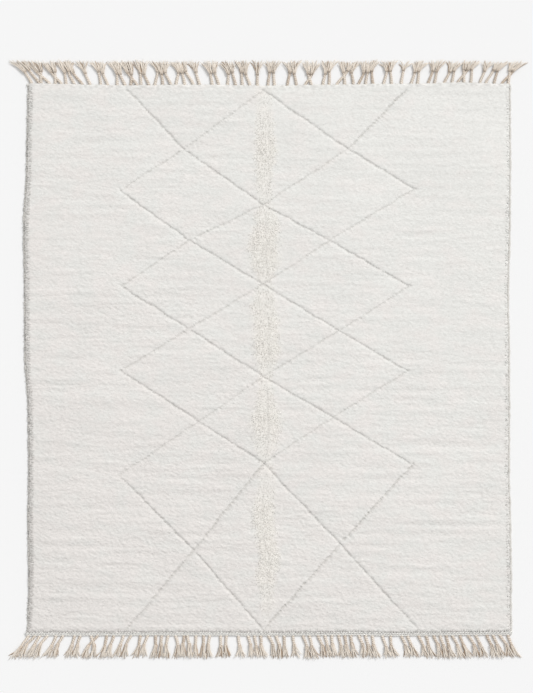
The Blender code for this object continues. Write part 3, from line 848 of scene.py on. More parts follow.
def yarn_material(name, colours):
    """Spun yarn: slanting fibres, darker hairs among them, whole strands as dark as their tone is below
    nought, and painted shade where the strands lie deep or beneath others."""
    finish = SPUN_WOOLS[name]
    dyes = dict.fromkeys(("Colour", "Second_colour"), opaque(getattr(colours, finish.colour)))
    dark = getattr(colours, finish.dark)
    material, tree, shader, place = new_wool(name, YARN_SHEEN)
    height, hairs = use_group(tree, "Spun yarn", Pitch=finish.pitch, Strands=finish.strands)
    wool = use_group(tree, "Colour drift", Place=place, **dyes, **YARN_DRIFT)[0]
    wool = shaded(tree, wool, 0.0, *YARN_SHADES)
    # Strands whose tone is below nought go over to the dark colour: darker cords, and the low dark yarns that
    # stand for the brushes' own shade
    wool = mix(tree, spread(tree, point_value(tree, "tone"), 0.0, -1.0), wool, opaque(dark))
    # Painted shade where the strands lie deep or beneath others
    wool = tint(tree, wool, point_value(tree, "gap"), YARN_PAINTED_SHADE_SHARE, dark)
    put_on(tree, shader, tint(tree, wool, hairs, finish.hair_share, dark), height, *YARN_BUMP)
    return material


WARP_PITCH, WEFT_PITCH = 0.004, 0.003
GROUND_SHEEN = 0.05
GROUND_DRIFT = {"Patches": 0.03, "Bands": 0.03, "Fleck": 0.06}
GROUND_BUMP = (0.8, 0.0008)


def ground_material(name, colours):
    """Plain weave: warp and weft ridges that pass over and under each other."""
    material, tree, shader, place = new_wool(name, GROUND_SHEEN)
    parts = add_node(tree, "ShaderNodeSeparateXYZ", {0: place}).outputs
    warp, weft = (
        reckon(tree, "SINE", reckon(tree, "MULTIPLY", parts[axis], math.pi / pitch))
        for axis, pitch in (("X", WARP_PITCH), ("Y", WEFT_PITCH))
    )
    crossing = reckon(tree, "MULTIPLY", warp, weft)
    dyes = dict.fromkeys(("Colour", "Second_colour"), opaque(colours.ground))
    wool = use_group(tree, "Colour drift", Place=place, **dyes, **GROUND_DRIFT)[0]
    woven = mix(tree, spread(tree, crossing, -1.0, 1.0, 0.0, 0.5), wool, opaque(colours.pile))
    put_on(tree, shader, woven, crossing, *GROUND_BUMP)
    return material


def shared_material(name, build, colours):
    return bpy.data.materials.get(name) or build(name, colours)


# ---- The pile


DRAW_REACH = 0.016  # how far from a carved line the grid is drawn in towards it
DRAW_SHARE = 0.45  # the spacing left at the line itself


def draw_to_grooves(x, y):
    """Moves places towards the carved lines, so that the cuts get more of the pile's points."""
    for start, end in lattice_lines():
        above, _, past, (run_x, run_y) = beside_line(x, y, start, end)
        near = np.clip(np.abs(above) / DRAW_REACH, 0.0, 1.0)
        pull = above * (DRAW_SHARE + (1 - DRAW_SHARE) * near - 1) * np.exp(-((past / GROOVE_END) ** 2))
        x, y = x - pull * run_y, y + pull * run_x
    return x, y


def points_between(low, high, edge_at, step):
    return round((edge_at(high, 0.0) - edge_at(low, 0.0)) / step) + 1


def fit_grid(columns, rows, edge_at):
    """A grid of places that runs out to the four edges."""
    across, along = np.meshgrid(np.linspace(0, 1, columns), np.linspace(0, 1, rows))
    x, y = np.zeros_like(across), np.zeros_like(along)
    for _ in range(3):
        left, right = (edge_at(name, y, across) for name in ("left", "right"))
        x = left + (right - left) * across
        near, far = (edge_at(name, x, along) for name in ("near", "far"))
        y = near + (far - near) * along
    return x, y


def ragged_edge(name, place, share):
    wander = "rim wander" if name in SideRow._fields else "end wander"
    return hung_edge(name, place) + stray(wander, place, np.round(share))


def pile_grid(sizes):
    """Places over the whole pile, as a grid of rows along it and columns across it."""
    columns = points_between("left", "right", pile_edge, sizes.grid_across)
    x, y = fit_grid(columns, points_between("near", "far", pile_edge, sizes.grid_along), ragged_edge)
    open_pile = ease(rim_distance(x, y) / RIM_INSETS[-1])
    x += open_pile * stray("grid stray across", x, y)
    y += open_pile * stray("grid stray along", x, y)
    drawn_x, drawn_y = draw_to_grooves(x, y)
    return x + open_pile * (drawn_x - x), y + open_pile * (drawn_y - y)


def slab(name, x, y, z, wall_rings, values=(), normals=None):
    """A closed body under a grid of places. wall_rings turns the grid's rim into the rings below it."""
    rows, columns = x.shape
    index = np.arange(rows * columns).reshape(rows, columns)
    quads = np.stack([index[:-1, :-1], index[:-1, 1:], index[1:, 1:], index[1:, :-1]], axis=-1).reshape(-1, 4)
    ring = np.concatenate([index[0, :-1], index[:-1, -1], index[-1, :0:-1], index[:0:-1, 0]])
    top = np.stack([x, y, z], axis=-1).reshape(-1, 3)
    rings = wall_rings(top[ring])
    walls, upper = [], ring
    for k in range(len(rings)):
        lower = rows * columns + k * len(ring) + np.arange(len(ring))
        walls.append(np.stack([lower, np.roll(lower, -1), np.roll(upper, -1), upper], axis=-1))
        upper = lower
    below = np.ones(len(rings) * len(ring))
    values = [(label, np.concatenate([value.ravel(), below])) for label, value in values]
    points = np.concatenate([top, *rings])
    return make_mesh(name, points, quads, [*walls, upper[::-1][None]], values, normals=normals)


def pile_walls(floor_z):
    """The pile's sides: in under the hanging tufts to the knots' edge, then down to the ground."""

    def rings(rim):
        under = rim.copy()
        under[:, 0] = np.clip(rim[:, 0], pile_edge("left", rim[:, 1]), pile_edge("right", rim[:, 1]))
        under[:, 1] = np.clip(rim[:, 1], pile_edge("near", rim[:, 0]), pile_edge("far", rim[:, 0]))
        under[:, 2] = np.minimum(rim[:, 2] - MILLIMETRE / 2, HANG_HEIGHT)
        foot = under.copy()
        foot[:, 2] = floor_z
        return [under, foot]

    return rings


class RUG_OT_knot_pile(bpy.types.Operator):
    """Make the carved pile in four patches"""

    bl_idname = "rug.knot_pile"
    bl_label = "Knot the pile"

    def execute(self, context):
        sizes, colours = context.scene.rug_sizes, context.scene.rug_colours
        x, y = pile_grid(sizes)
        z, gap = pile_surface(x, y, sizes)
        middle, _ = spine(x, y)
        # The whole grid's own normals let its patches meet without a visible seam
        places = np.stack([x, y, z], axis=-1)
        normals = unit(np.cross(np.gradient(places, axis=1), np.gradient(places, axis=0)))
        column, row = int(np.argmin(np.abs(x[0] - SPINE_X))), x.shape[0] // 2
        material = shared_material("pile_wool", ivory_material, colours)
        for end, rows in (("near", slice(0, row + 1)), ("far", slice(row, None))):
            for side, columns in (("left", slice(0, column + 1)), ("right", slice(column, None))):
                part = (rows, columns)
                mesh = slab(
                    f"pile_{end}_{side}",
                    *(grid[part] for grid in (x, y, z)),
                    pile_walls(sizes.ground_thickness),
                    (("gap", gap[part]), ("spine", middle[part])),
                    normals[part].reshape(-1, 3),
                )
                add_piece(mesh, material, ["pile_field"])
        return {"FINISHED"}


# ---- Loose locks


# At a lock's root, middle and tip: how far along it is, its width, its height over the pile and
# how much painted shade it gets, most at the root where it goes into the pile
LOCK_STATIONS = np.array([0.0, 0.5, 1.0])
LOCK_SWELL = np.array([0.70, 1.0, 0.35])
LOCK_RISE = np.array([-0.9, 1.0, 0.2])
LOCK_GAP = np.array([0.14, 0.0, 0.0])
LOCK_CORNERS = 3
LOCK_FLATNESS = 0.30
LOCK_BOW = 0.20  # the most, as a share of its length


def lay_locks(strands, roots, heading, length, width, lift, level, name, gap=0.0):
    """Lays tapered locks from their roots, each bowed a little to one side, over the surface whose
    height level gives."""
    rng = dice(name)
    count = len(roots)
    ahead = np.stack([np.cos(heading), np.sin(heading)], axis=-1)
    beside = np.stack([-ahead[:, 1], ahead[:, 0]], axis=-1)
    bow = rng.uniform(-LOCK_BOW, LOCK_BOW, count) * length
    along = LOCK_STATIONS[None, :, None] * length[:, None, None] * ahead[:, None]
    bowed = np.sin(np.pi * LOCK_STATIONS)[None, :, None] * bow[:, None, None] * beside[:, None]
    plan = roots[:, None] + along + bowed
    x, y = plan[..., 0], plan[..., 1]
    paths = np.stack([x, y, level(x, y) + lift[:, None] * LOCK_RISE], axis=-1)
    section = round_section(width[:, None] / 2 * LOCK_SWELL, LOCK_CORNERS, LOCK_FLATNESS)
    strands.add(paths, *section, rng.uniform(-1, 1, count), np.broadcast_to(LOCK_GAP + gap, x.shape))


def add_locks(name, strands, colours):
    places = np.concatenate(strands.points)
    mesh = strands.mesh(name, ("spine", spine(places[:, 0], places[:, 1])[0]))
    add_piece(mesh, shared_material("lock_wool", ivory_material, colours))


SPINE_LOCKS = 9800
SPINE_TRIES = 6  # places tried for each lock
SPINE_REACH = 0.12
SPINE_NEAR, SPINE_FAR = 0.03, 0.02  # how far from the pile's ends the locks stop
BARE_SHAG, FULL_SHAG = 0.15, 1.1  # the shag where there are no locks, and where they are densest
FALL_REACH = 0.03  # how far from the parting the locks fall fully sideways
DARK_LOCKS = 0.13  # the share of them painted darker, as though in the shade of others
# the painted shade those locks get
DARK_LOCK_GAP = 0.55
# How far a lock turns from straight down, and how its length, width and lift vary
SPINE_TURNS, SPINE_TURN_STRAY = (0.35, 1.0), 0.35
SPINE_LENGTHS, SPINE_WIDTHS, SPINE_LIFTS = (0.55, 1.1), (0.6, 1.2), (0.0001, 0.0008)
DOWN = -math.pi / 2


class RUG_OT_comb_spine(bpy.types.Operator):
    """Lay the long locks that fall away from the parting down the middle"""

    bl_idname = "rug.comb_spine"
    bl_label = "Comb the spine"

    def execute(self, context):
        sizes, colours = context.scene.rug_sizes, context.scene.rug_colours
        rng = dice("spine locks")
        tries = SPINE_LOCKS * SPINE_TRIES
        x = rng.uniform(SPINE_X - SPINE_REACH, SPINE_X + SPINE_REACH, tries)
        y = rng.uniform(pile_edge("near", 0.0) + SPINE_NEAR, pile_edge("far", 0.0) - SPINE_FAR, tries)
        shag, from_parting = spine(x, y)
        kept = np.flatnonzero(rng.uniform(BARE_SHAG, FULL_SHAG, tries) < shag)[:SPINE_LOCKS]
        kept = kept[np.argsort(y[kept])]
        x, y, shag, from_parting, count = x[kept], y[kept], shag[kept], from_parting[kept], len(kept)
        outward = np.clip(from_parting / FALL_REACH, -1, 1)
        strands = Strands()
        lay_locks(
            strands,
            np.stack([x, y], axis=-1),
            DOWN + outward * rng.uniform(*SPINE_TURNS, count) + rng.normal(0, SPINE_TURN_STRAY, count),
            sizes.lock_length * rng.uniform(*SPINE_LENGTHS, count),
            sizes.lock_width * rng.uniform(*SPINE_WIDTHS, count) * (0.5 + 0.5 * shag),
            rng.uniform(*SPINE_LIFTS, count) * shag,
            lambda x, y: pile_surface(x, y, sizes)[0],
            "spine lock shapes",
            DARK_LOCK_GAP * (dice("dark locks").uniform(0, 1, (count, 1)) < DARK_LOCKS),
        )
        add_locks("spine_locks", strands, colours)
        return {"FINISHED"}


# Rows of short locks over the pile's rim: how far in they start, how long they are, how wide, and
# the height their roots and tips lie at
RimRow = namedtuple("RimRow", "edge pitch inset length width root_z tip_z")
RIM_ROWS = (
    ("left", 0.0085, -0.006, 0.0085, 0.0034, 0.0054, 0.0030),
    ("left", 0.0060, 0.008, 0.0130, 0.0044, 0.0126, 0.0080),
    ("left", 0.0070, 0.020, 0.0160, 0.0046, 0.0160, 0.0148),
    ("right", 0.0095, -0.006, 0.0085, 0.0034, 0.0054, 0.0030),
    ("right", 0.0060, 0.004, 0.0110, 0.0044, 0.0124, 0.0076),
    ("right", 0.0085, 0.011, 0.0150, 0.0048, 0.0150, 0.0118),
    ("far", 0.0060, 0.002, 0.0140, 0.0046, 0.0112, 0.0066),
    ("near", 0.0060, 0.004, 0.0150, 0.0046, 0.0112, 0.0072),
    ("near", 0.0085, 0.011, 0.0150, 0.0048, 0.0148, 0.0118),
)
RIM_HEADINGS = {"left": math.pi, "right": 0.0, "near": -math.pi / 2, "far": math.pi / 2}
RIM_LOCK_GAPS = {"left": 0.95, "near": 0.8, "right": 0.5, "far": 0.4}  # painted shade on the rim locks, at the most; most on the left and near, away from the key light
RIM_INSET_STRAY, RIM_TURN_STRAY = 0.004, 0.22
RIM_LENGTHS, RIM_WIDTHS, RIM_LIFTS = (0.75, 1.15), (0.7, 1.2), (0.0002, 0.0016)


class RUG_OT_comb_rims(bpy.types.Operator):
    """Lay the short locks that hang over the pile's rim"""

    bl_idname = "rug.comb_rims"
    bl_label = "Comb the rims"

    def execute(self, context):
        strands = Strands()
        for number, row in enumerate(map(RimRow._make, RIM_ROWS)):
            self.comb_rim(strands, row, dice(f"rim row {number}"))
        add_locks("rim_locks", strands, context.scene.rug_colours)
        return {"FINISHED"}

    def comb_rim(self, strands, row, rng):
        sideways = row.edge in SideRow._fields
        reach = pile_edge("far" if sideways else "right", 0.0)
        count = round(2 * reach / row.pitch)
        place = np.linspace(-reach, reach, count) + rng.uniform(-0.5, 0.5, count) * row.pitch
        inset = row.inset + rng.uniform(-RIM_INSET_STRAY, RIM_INSET_STRAY, count)
        root = pile_edge(row.edge, place) - OUTWARD[row.edge] * inset
        length = row.length * rng.uniform(*RIM_LENGTHS, count)
        height = row.root_z + (row.tip_z - row.root_z) * LOCK_STATIONS**1.5
        lay_locks(
            strands,
            np.stack([root, place] if sideways else [place, root], axis=-1),
            RIM_HEADINGS[row.edge] + rng.normal(0, RIM_TURN_STRAY, count),
            length,
            row.width * rng.uniform(*RIM_WIDTHS, count),
            rng.uniform(*RIM_LIFTS, count),
            lambda x, y: height,
            f"{row.edge} rim lock shapes {row.pitch}",
            rng.uniform(0, RIM_LOCK_GAPS[row.edge], (count, 1)),
        )


# ---- Selvedges


WRAP_CORNERS = 9
WRAP_STATIONS = 6  # stations for each wrap
WRAP_SLANT = 0.45  # how far a wrap runs along the side as it goes round, in wraps
WRAP_RIDGE = 0.32
WRAP_YARNS = 0.05  # the relief of the yarns in a wrap, of which there are three
WRAP_SHADE = 1.6  # how much painted shade the gaps between wraps get, beside their ridges
SELVEDGE_CENTRE_Z = 0.0034
SELVEDGE_HALF_HEIGHT = 0.0034
# Each side's wrapped cord: how far in from the side its middle lies, its half width, and how much
# painted shade its wraps get on average and how much that varies, most on the left, away from the key light
WrappedCord = namedtuple("WrappedCord", "inset half_width dark dark_spread")
WRAPPED_CORDS = {
    "left": WrappedCord(0.0106, 0.0062, 0.28, 0.9),
    "right": WrappedCord(0.0058, 0.0066, -0.50, 0.3),
}


class RUG_OT_overcast_sides(bpy.types.Operator):
    """Make the wrapped cord down each side"""

    bl_idname = "rug.overcast_sides"
    bl_label = "Overcast the sides"

    def execute(self, context):
        sizes, colours = context.scene.rug_sizes, context.scene.rug_colours
        material = shared_material("overcast_wool", yarn_material, colours)
        for side, cord in WRAPPED_CORDS.items():
            of = f"{side} "
            low, high = (edge(end, edge(side, 0.0)) for end in ("near", "far"))
            y = np.linspace(low, high, round((high - low) / sizes.wrap_pitch) * WRAP_STATIONS + 1)
            x = edge(side, y, cord.inset) + stray("cord wander", y, of=of)
            path = np.stack([x, y, np.full_like(y, SELVEDGE_CENTRE_Z)], axis=-1)[None]
            turn = corner_turns(WRAP_CORNERS)
            phase = (y / sizes.wrap_pitch + stray("wrap stray", y, of=of))[:, None]
            phase = phase + WRAP_SLANT * turn[None] / np.pi
            ridge = np.abs(np.sin(np.pi * phase)) ** 0.7 - 0.7
            fine = WRAP_YARNS * np.cos(6 * np.pi * phase)
            bulk = 1 + WRAP_RIDGE * ridge + fine + stray("bulk", y, of=of)[:, None]
            across = (cord.half_width * bulk * np.cos(turn))[None]
            up = (SELVEDGE_HALF_HEIGHT * bulk * np.sin(turn))[None]
            # Painted shade: darker between the wraps, on the left side, and at random along the side
            dark = cord.dark + cord.dark_spread * stray("dark wraps", y, of=of)[:, None]
            strands = Strands()
            strands.add(path, across, up, 0.0, np.clip(dark - WRAP_SHADE * ridge, 0, 1)[None])
            add_piece(strands.mesh(f"selvedge_{side}_wraps"), material, [f"selvedge_{side}"])
        return {"FINISHED"}


# ---- End bands and fringes


Rope = namedtuple("Rope", "offset half_width half_height centre_z hand")
ROPES = {
    "far": (Rope(-0.0050, 0.0056, 0.0036, 0.0042, 1),),
    "near": (
        Rope(-0.0130, 0.0054, 0.0056, 0.0072, 1),
        Rope(-0.0040, 0.0052, 0.0048, 0.0054, -1),
    ),
}
ROPE_PITCH = 0.030
ROPE_CORNERS = 8
ROPE_STEP = 0.0030
ROPE_CORE, ROPE_LOBE = 0.52, 0.54  # the height of its waist, and how far its lobes stand over that
ROPE_GAP, ROPE_GAP_FALL = 0.80, 1.1  # how much painted shade its waist gets, and how much less its lobes get


def add_ropes(strands, end):
    """The twined strands of one end band, side by side, each twisted the other way."""
    left, right = (edge(side, edge(end, 0.0)) for side in ("left", "right"))
    x = np.linspace(left, right, round((right - left) / ROPE_STEP) + 1)
    turn = corner_turns(ROPE_CORNERS)
    for rope in ROPES[end]:
        of = f"{end} rope {rope.hand} "
        y = edge(end, x) + OUTWARD[end] * rope.offset + stray("wander", x, of=of)
        path = np.stack([x, y, np.full_like(x, rope.centre_z)], axis=-1)[None]
        phase = rope.hand * 2 * np.pi * x / ROPE_PITCH + stray("stray", x, of=of)
        round_lobe = np.abs(np.cos(turn[None] - phase[:, None])) ** 0.8
        lobes = ROPE_CORE + ROPE_LOBE * round_lobe
        across = (rope.half_width * lobes * np.cos(turn))[None]
        up = (rope.half_height * lobes * np.sin(turn))[None]
        # Painted shade at each rope's waist, between its lobes
        strands.add(path, across, up, 0.5, np.clip(ROPE_GAP - ROPE_GAP_FALL * round_lobe**1.4, 0, 1)[None])


# One cord of a tassel: where it leaves the band and where it is pinched, as places across the rug
# and out from the band, the way its brush of loose yarns runs, and where the brush ends
Cord = namedtuple("Cord", "root pinch ahead tip_left tip_right reach")
BRUSH_OVERLAP = 1.35  # the width of each brush of a tassel with more cords, beside its share
ROOT_PITCHES, PINCH_STRAY, LENGTH_STRAY = (0.75, 1.15), 0.002, (-0.008, 0.007)


def tassel_cords(end):
    """The cords of each tassel in turn."""
    rows = [TasselRow._make(row) for row in (FAR_TASSELS if end == "far" else NEAR_TASSELS)]
    shape = CORD_ROWS[end]
    uneven = random.Random(end)
    tips = [(row.root_mm + row.lean_mm) * MILLIMETRE for row in rows]
    cords = []
    for k, row in enumerate(rows):
        middle, count = row.root_mm * MILLIMETRE, row.cords
        reach = HALF_LENGTH - abs(float(edge(end, middle)))
        reach -= uneven.uniform(0, TIP_UNEVENNESS) if k else 0.0
        room_left = (tips[k] - tips[k - 1] + TIP_OVERLAP) / 2 if k else math.inf
        room_right = (tips[k + 1] - tips[k] + TIP_OVERLAP) / 2 if k + 1 < len(tips) else math.inf
        flare = shape.flares[count - 1]
        left, right = tips[k] - min(flare, room_left), tips[k] + min(flare, room_right)
        brush = (right - left) / count
        half = 0.5 * brush * (BRUSH_OVERLAP if count > 1 else 1.0)
        pitch = shape.root_pitch * uneven.uniform(*ROOT_PITCHES)
        places = list(range(count))
        if count > 1 and uneven.uniform(0, 100) < shape.crossed:
            places[:2] = places[1::-1]
        for j, place in enumerate(places):
            root = np.array([middle + (j - (count - 1) / 2) * pitch, 0.0])
            pinch_x = middle + row.lean_mm * MILLIMETRE * PINCH_LEAN
            pinch_x += (place - (count - 1) / 2) * shape.pinch_pitch
            pinch_x += uneven.uniform(-PINCH_STRAY, PINCH_STRAY)
            pinch = np.array([pinch_x, shape.length + uneven.uniform(*LENGTH_STRAY)])
            tip_x = left + brush * (place + 0.5)
            ahead = np.array([tip_x - pinch[0], reach - pinch[1]]) + 0.5 * (pinch - root)
            ahead = ahead / np.linalg.norm(ahead)
            cords.append(Cord(root, pinch, ahead, max(left, tip_x - half), min(right, tip_x + half), reach))
    return cords


def on_floor(end, places):
    """Turns places across the rug, out from its end and up into places in the room."""
    x = places[..., 0]
    return np.stack([x, edge(end, x) + OUTWARD[end] * places[..., 1], places[..., 2]], axis=-1)


CORD_STATIONS = 17
CORD_TWIST = 0.022  # length of one full turn
CORD_TAPER = 0.80
CORD_FLATNESS = 0.58
CORD_BOW = 0.002  # the most
CORD_OVERRUN = 0.004  # how far it runs on past the pinch
CORD_STRAIGHT = 0.45  # how straight it runs, from 0 to 1
CORD_LIFT = 0.0008
PLY_WIDTHS, CORD_TONES = (0.94, 1.06), (-0.35, 0.7)
PLY_SHARE = 0.27  # half a ply's width, beside the cord's
PLY_CORNERS = 6
PLY_SHADE, PLY_TONE = 1.25, 0.1  # how much painted shade a ply gets beneath the other, and how far their tones differ
YARN_FLATNESS = 0.9


def add_cords(strands, end, cords, sizes):
    """Two plies twisted round each other, from the band to the pinch."""
    rng = dice(f"{end} cords")
    starts = np.array([cord.root + (0.0, CORD_ROWS[end].start) for cord in cords])[:, None]
    ends = np.array([cord.pinch + CORD_OVERRUN * cord.ahead for cord in cords])[:, None]
    t = np.linspace(0, 1, CORD_STATIONS)[None, :, None]
    sideways = (ends - starts) * (CORD_STRAIGHT * t + (1 - CORD_STRAIGHT) * ease(t)) * [1, 0]
    plan = starts + sideways + (ends - starts) * t * [0, 1]
    plan = plan + rng.uniform(-CORD_BOW, CORD_BOW, (len(cords), 1, 1)) * np.sin(np.pi * t) * [1, 0]
    count, t = len(plan), t[..., 0]
    taper = (1 - (1 - CORD_TAPER) * t) * np.ones((count, 1))
    ply = sizes.cord_width * PLY_SHARE * taper * rng.uniform(*PLY_WIDTHS, (count, 1))
    sway = sizes.cord_width / 2 * taper - ply
    lift = (ply + sway) * CORD_FLATNESS + CORD_LIFT * np.sin(np.pi * t) * rng.uniform(0, 1, (count, 1))
    paths = on_floor(end, np.concatenate([plan, lift[..., None]], axis=-1))
    level, lifted = crosswise(paths)
    run = np.linalg.norm(ends - starts, axis=-1) * t
    phase = 2 * np.pi * (run / CORD_TWIST + rng.uniform(0, 1, (count, 1)))
    tones = rng.uniform(*CORD_TONES, count)
    for half in (0.0, np.pi):
        swing = phase + half
        round_it = np.cos(swing)[..., None] * level + CORD_FLATNESS * np.sin(swing)[..., None] * lifted
        # Painted shade where a ply passes beneath the other
        beneath = np.clip(PLY_SHADE * ((1 - np.sin(swing)) / 2) ** 1.05, 0, 1)
        section = round_section(ply, PLY_CORNERS, YARN_FLATNESS)
        strands.add(paths + sway[..., None] * round_it, *section, tones - PLY_TONE * np.cos(half), beneath)


YARNS_PER_CORD = 10
YARN_STATIONS = 7
YARN_CORNERS = 5
YARN_MIXING = 2.5  # how many places a yarn may stray from its own as it leaves the pinch
BRUSH_SHARE = 0.42  # half the width of a brush at the pinch, beside the cord's
BRUSH_BULGE = 0.006  # how much further out the middle of its tip reaches
BRUSH_START, TIP_OUT = 0.004, 0.003  # how far short of the pinch it starts and past its reach it ends
TIP_SCATTER = 0.011
# painted shade in the brush, heaviest where it leaves the pinch
YARN_GAP = 0.55
YARN_WAVE, YARN_WAVES = 0.0016, (0.8, 2.2)  # its height, and how many there are in a yarn
YARN_WIDTHS = (0.85, 1.2)
YARN_SWELL = ((0, 0.2, 0.7, 0.85, 1), (0.85, 1.0, 1.05, 0.85, 0.25))  # the width at places along it
# Between which heights a yarn leaves the pinch and ends, and how light or dark it is; the dark yarns lie low
# as painted shade inside the brush
BrushYarn = namedtuple("BrushYarn", "high low tone")
DARK_YARN = BrushYarn((0.0028, 0.0060), (0.0018, 0.0040), (-0.85, -0.25))
PALE_YARN = BrushYarn((0.0060, 0.0115), (0.0035, 0.0105), (-0.15, 1.0))


def add_yarns(strands, end, cords, sizes):
    """Each cord's brush of loose yarns, which cross as they leave the pinch and flare to the tip."""
    rng = dice(f"{end} yarns")
    t = np.linspace(0, 1, YARN_STATIONS)
    plans, widths, tones = [], [], []
    for cord in cords:
        across = np.array([cord.ahead[1], -cord.ahead[0]])
        order = np.argsort(np.arange(YARNS_PER_CORD) + rng.uniform(-YARN_MIXING, YARN_MIXING, YARNS_PER_CORD))
        for k, rank in enumerate(order):
            from_share = (2 * rank + 1) / YARNS_PER_CORD - 1
            beside = across * BRUSH_SHARE * sizes.cord_width * from_share
            start = cord.pinch + beside - cord.ahead * BRUSH_START
            share = (k + 0.5 + rng.uniform(-0.5, 0.5)) / YARNS_PER_CORD
            bulge = BRUSH_BULGE * (1 - (2 * share - 1) ** 2)
            tip_x = cord.tip_left + share * (cord.tip_right - cord.tip_left)
            tip_y = cord.reach + TIP_OUT + bulge + rng.uniform(-TIP_SCATTER, 0.6 * TIP_SCATTER)
            tip = np.array([tip_x, tip_y])
            bend = start + cord.ahead * np.linalg.norm(tip - start) / 2
            plan = np.outer((1 - t) ** 2, start) + np.outer(2 * t * (1 - t), bend) + np.outer(t**2, tip)
            wave = YARN_WAVE * np.sin(2 * np.pi * (rng.uniform(*YARN_WAVES) * t + rng.uniform(0, 1)))
            plan[:, 0] += wave * np.sin(np.pi * t) ** 0.5
            yarn = DARK_YARN if rng.uniform(0, 1) < CORD_ROWS[end].dark_yarns else PALE_YARN
            high, low = rng.uniform(*yarn.high), rng.uniform(*yarn.low)
            plans.append(np.column_stack([plan, high + (low - high) * ease(t)]))
            widths.append(rng.uniform(*YARN_WIDTHS))
            tones.append(rng.uniform(*yarn.tone))
    paths = on_floor(end, np.array(plans))
    radii = sizes.yarn_width / 2 * np.array(widths)[:, None] * np.interp(t, *YARN_SWELL)
    paths[..., 2] = np.maximum(paths[..., 2], radii)
    section = round_section(radii, YARN_CORNERS, YARN_FLATNESS)
    strands.add(paths, *section, np.array(tones), YARN_GAP * (1 - t) ** 2)


KNOT_STATIONS = 7
KNOT_SHARE = 0.34  # half a knot's length, beside the cord's width
KNOT_FLATNESS = 0.85
KNOT_FOOT, KNOT_RISE = 0.0030, 0.0052
KNOT_OUT, KNOT_SLANTS = 0.002, (0.002, 0.005)
# Their reach, width and tone vary; each knot also takes a little even painted shade
KNOT_REACHES, KNOT_WIDTHS, KNOT_TONES, KNOT_GAP = (0.9, 1.1), (0.85, 1.1), (-0.4, 0.5), 0.1


def add_knots(strands, end, cords, sizes):
    """The turn of yarn that pinches each cord."""
    rng = dice(f"{end} knots")
    t = np.linspace(0, 1, KNOT_STATIONS)
    plans = []
    for cord in cords:
        across = np.array([cord.ahead[1], -cord.ahead[0]])
        slant = rng.choice((-1, 1)) * rng.uniform(*KNOT_SLANTS)
        reach = KNOT_SHARE * sizes.cord_width * rng.uniform(*KNOT_REACHES)
        turned = np.outer(2 * t - 1, across * reach + cord.ahead * slant)
        plan = cord.pinch + KNOT_OUT * cord.ahead + turned
        plans.append(np.column_stack([plan, KNOT_FOOT + KNOT_RISE * np.sin(np.pi * t) ** 0.6]))
    radii = sizes.yarn_width / 2 * rng.uniform(*KNOT_WIDTHS, (len(cords), 1)) * np.ones(KNOT_STATIONS)
    section = round_section(radii, YARN_CORNERS, KNOT_FLATNESS)
    tones = rng.uniform(*KNOT_TONES, len(cords))
    strands.add(on_floor(end, np.array(plans)), *section, tones, KNOT_GAP)


class RUG_OT_knot_fringes(bpy.types.Operator):
    """Make the twined band, cords, knots and loose yarns of the fringe at each end"""

    bl_idname = "rug.knot_fringes"
    bl_label = "Knot the fringes"

    def execute(self, context):
        sizes, colours = context.scene.rug_sizes, context.scene.rug_colours
        for end in ("far", "near"):
            band, fringe, cords = Strands(), Strands(), tassel_cords(end)
            add_ropes(band, end)
            for make in (add_cords, add_yarns, add_knots):
                make(fringe, end, cords, sizes)
            for name, strands, finish in (
                (f"band_{end}_ropes", band, "band_wool"),
                (f"fringe_{end}_yarns", fringe, "fringe_wool"),
            ):
                wool = shared_material(finish, yarn_material, colours)
                add_piece(strands.mesh(name), wool, [f"fringe_{end}"])
        return {"FINISHED"}


# ---- The woven ground and the stage


GROUND_EDGE = 0.006  # how far inside the selvedges and bands the ground stops
GROUND_STEP = 0.10


class RUG_OT_weave_ground(bpy.types.Operator):
    """Make the thin woven ground that everything is knotted to"""

    bl_idname = "rug.weave_ground"
    bl_label = "Weave the ground"

    def execute(self, context):
        sizes, colours = context.scene.rug_sizes, context.scene.rug_colours
        columns = points_between("left", "right", edge, GROUND_STEP)
        rows = points_between("near", "far", edge, GROUND_STEP)
        x, y = fit_grid(columns, rows, lambda name, place, share: edge(name, place, GROUND_EDGE))
        level = np.full_like(x, sizes.ground_thickness)
        mesh = slab("ground_weave", x, y, level, lambda rim: [rim * [1, 1, 0]])
        material = shared_material("ground_cotton", ground_material, colours)
        ground = add_piece(mesh, material)
        return {"FINISHED"}


FLOOR_HALF_SIZE = 160.0


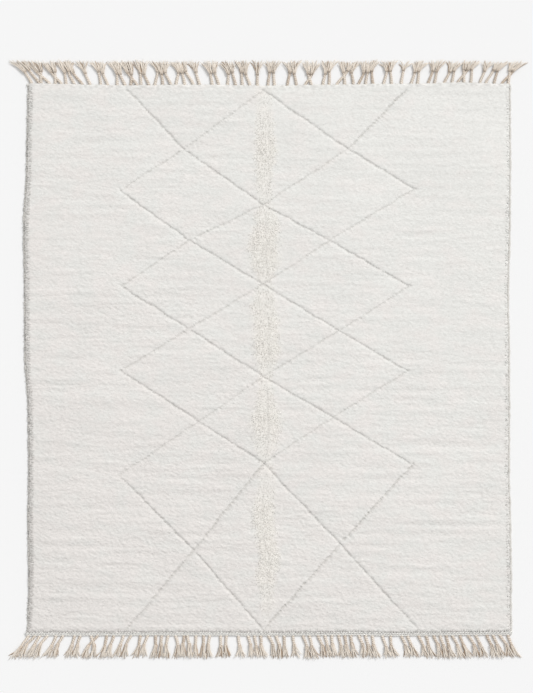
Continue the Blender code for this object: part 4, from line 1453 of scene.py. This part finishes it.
class RUG_OT_set_stage(bpy.types.Operator):
    """Make the pale floor, the soft light and the camera"""

    bl_idname = "rug.set_stage"
    bl_label = "Set the stage"

    def execute(self, context):
        self.lay_floor(context, context.scene.rug_colours)
        self.light(context, context.scene.rug_stage)
        self.place_camera(context)
        context.scene.view_settings.view_transform = "Standard"
        return {"FINISHED"}

    def lay_floor(self, context, colours):
        reach = FLOOR_HALF_SIZE
        corners = [(-reach, -reach, 0), (reach, -reach, 0), (reach, reach, 0), (-reach, reach, 0)]
        mesh = bpy.data.meshes.new("floor")
        mesh.from_pydata(corners, [], [(0, 1, 2, 3)])
        material = bpy.data.materials.new("pale_floor")
        material.use_nodes = True
        inputs = material.node_tree.nodes["Principled BSDF"].inputs
        inputs["Base Color"].default_value = opaque(colours.floor)
        inputs["Roughness"].default_value = 0.9
        inputs["Specular IOR Level"].default_value = 0.1
        mesh.materials.append(material)
        floor = bpy.data.objects.new("floor", mesh)
        context.scene.collection.objects.link(floor)

    def light(self, context, stage):
        key = bpy.data.lights.new("key", "SUN")
        key.energy = stage.sun_strength
        key.angle = stage.sun_spread
        lamp = bpy.data.objects.new("key", key)
        lamp.rotation_euler = (math.pi / 2 - stage.sun_height, 0.0, stage.sun_bearing + math.pi / 2)
        context.scene.collection.objects.link(lamp)
        world = bpy.data.worlds.new("studio")
        world.use_nodes = True
        inputs = world.node_tree.nodes["Background"].inputs
        inputs["Color"].default_value = (1, 1, 1, 1)
        inputs["Strength"].default_value = stage.sky_strength
        context.scene.world = world

    def place_camera(self, context):
        lens = bpy.data.cameras.new("camera")
        lens.sensor_width = SENSOR / MILLIMETRE
        lens.lens = lens.sensor_width * CAMERA_PLACE[2] / SEEN_LENGTH
        camera = bpy.data.objects.new("camera", lens)
        camera.location = CAMERA_PLACE
        context.scene.collection.objects.link(camera)
        context.scene.camera = camera


# ---- The add-on


OPERATORS = (
    RUG_OT_knot_pile,
    RUG_OT_comb_spine,
    RUG_OT_comb_rims,
    RUG_OT_overcast_sides,
    RUG_OT_knot_fringes,
    RUG_OT_weave_ground,
    RUG_OT_set_stage,
)
SETTINGS = {"rug_sizes": RugSizes, "rug_colours": RugColours, "rug_stage": RugStage}


class RUG_PT_workshop(bpy.types.Panel):
    """Lists the rug's sizes and the steps that make it"""

    bl_idname = "RUG_PT_workshop"
    bl_label = "Rug"
    bl_space_type = "VIEW_3D"
    bl_region_type = "UI"
    bl_category = "Rug"

    def draw(self, context):
        for group in SETTINGS:
            box, settings = self.layout.box(), getattr(context.scene, group)
            for name in settings.__annotations__:
                box.prop(settings, name)
        for operator in OPERATORS:
            self.layout.operator(operator.bl_idname)


CLASSES = (*SETTINGS.values(), *OPERATORS, RUG_PT_workshop)


def register():
    for each in CLASSES:
        bpy.utils.register_class(each)
    for name, group in SETTINGS.items():
        setattr(bpy.types.Scene, name, bpy.props.PointerProperty(type=group))


def unregister():
    for name in SETTINGS:
        delattr(bpy.types.Scene, name)
    for each in reversed(CLASSES):
        bpy.utils.unregister_class(each)


def write_sizes():
    """Brings the scene's placements up to date."""
    bpy.context.view_layer.update()


def main():
    register()
    bpy.ops.rug.knot_pile()
    bpy.ops.rug.comb_spine()
    bpy.ops.rug.comb_rims()
    bpy.ops.rug.overcast_sides()
    bpy.ops.rug.knot_fringes()
    bpy.ops.rug.weave_ground()
    bpy.ops.rug.set_stage()
    write_sizes()


if __name__ == "__main__":
    main()
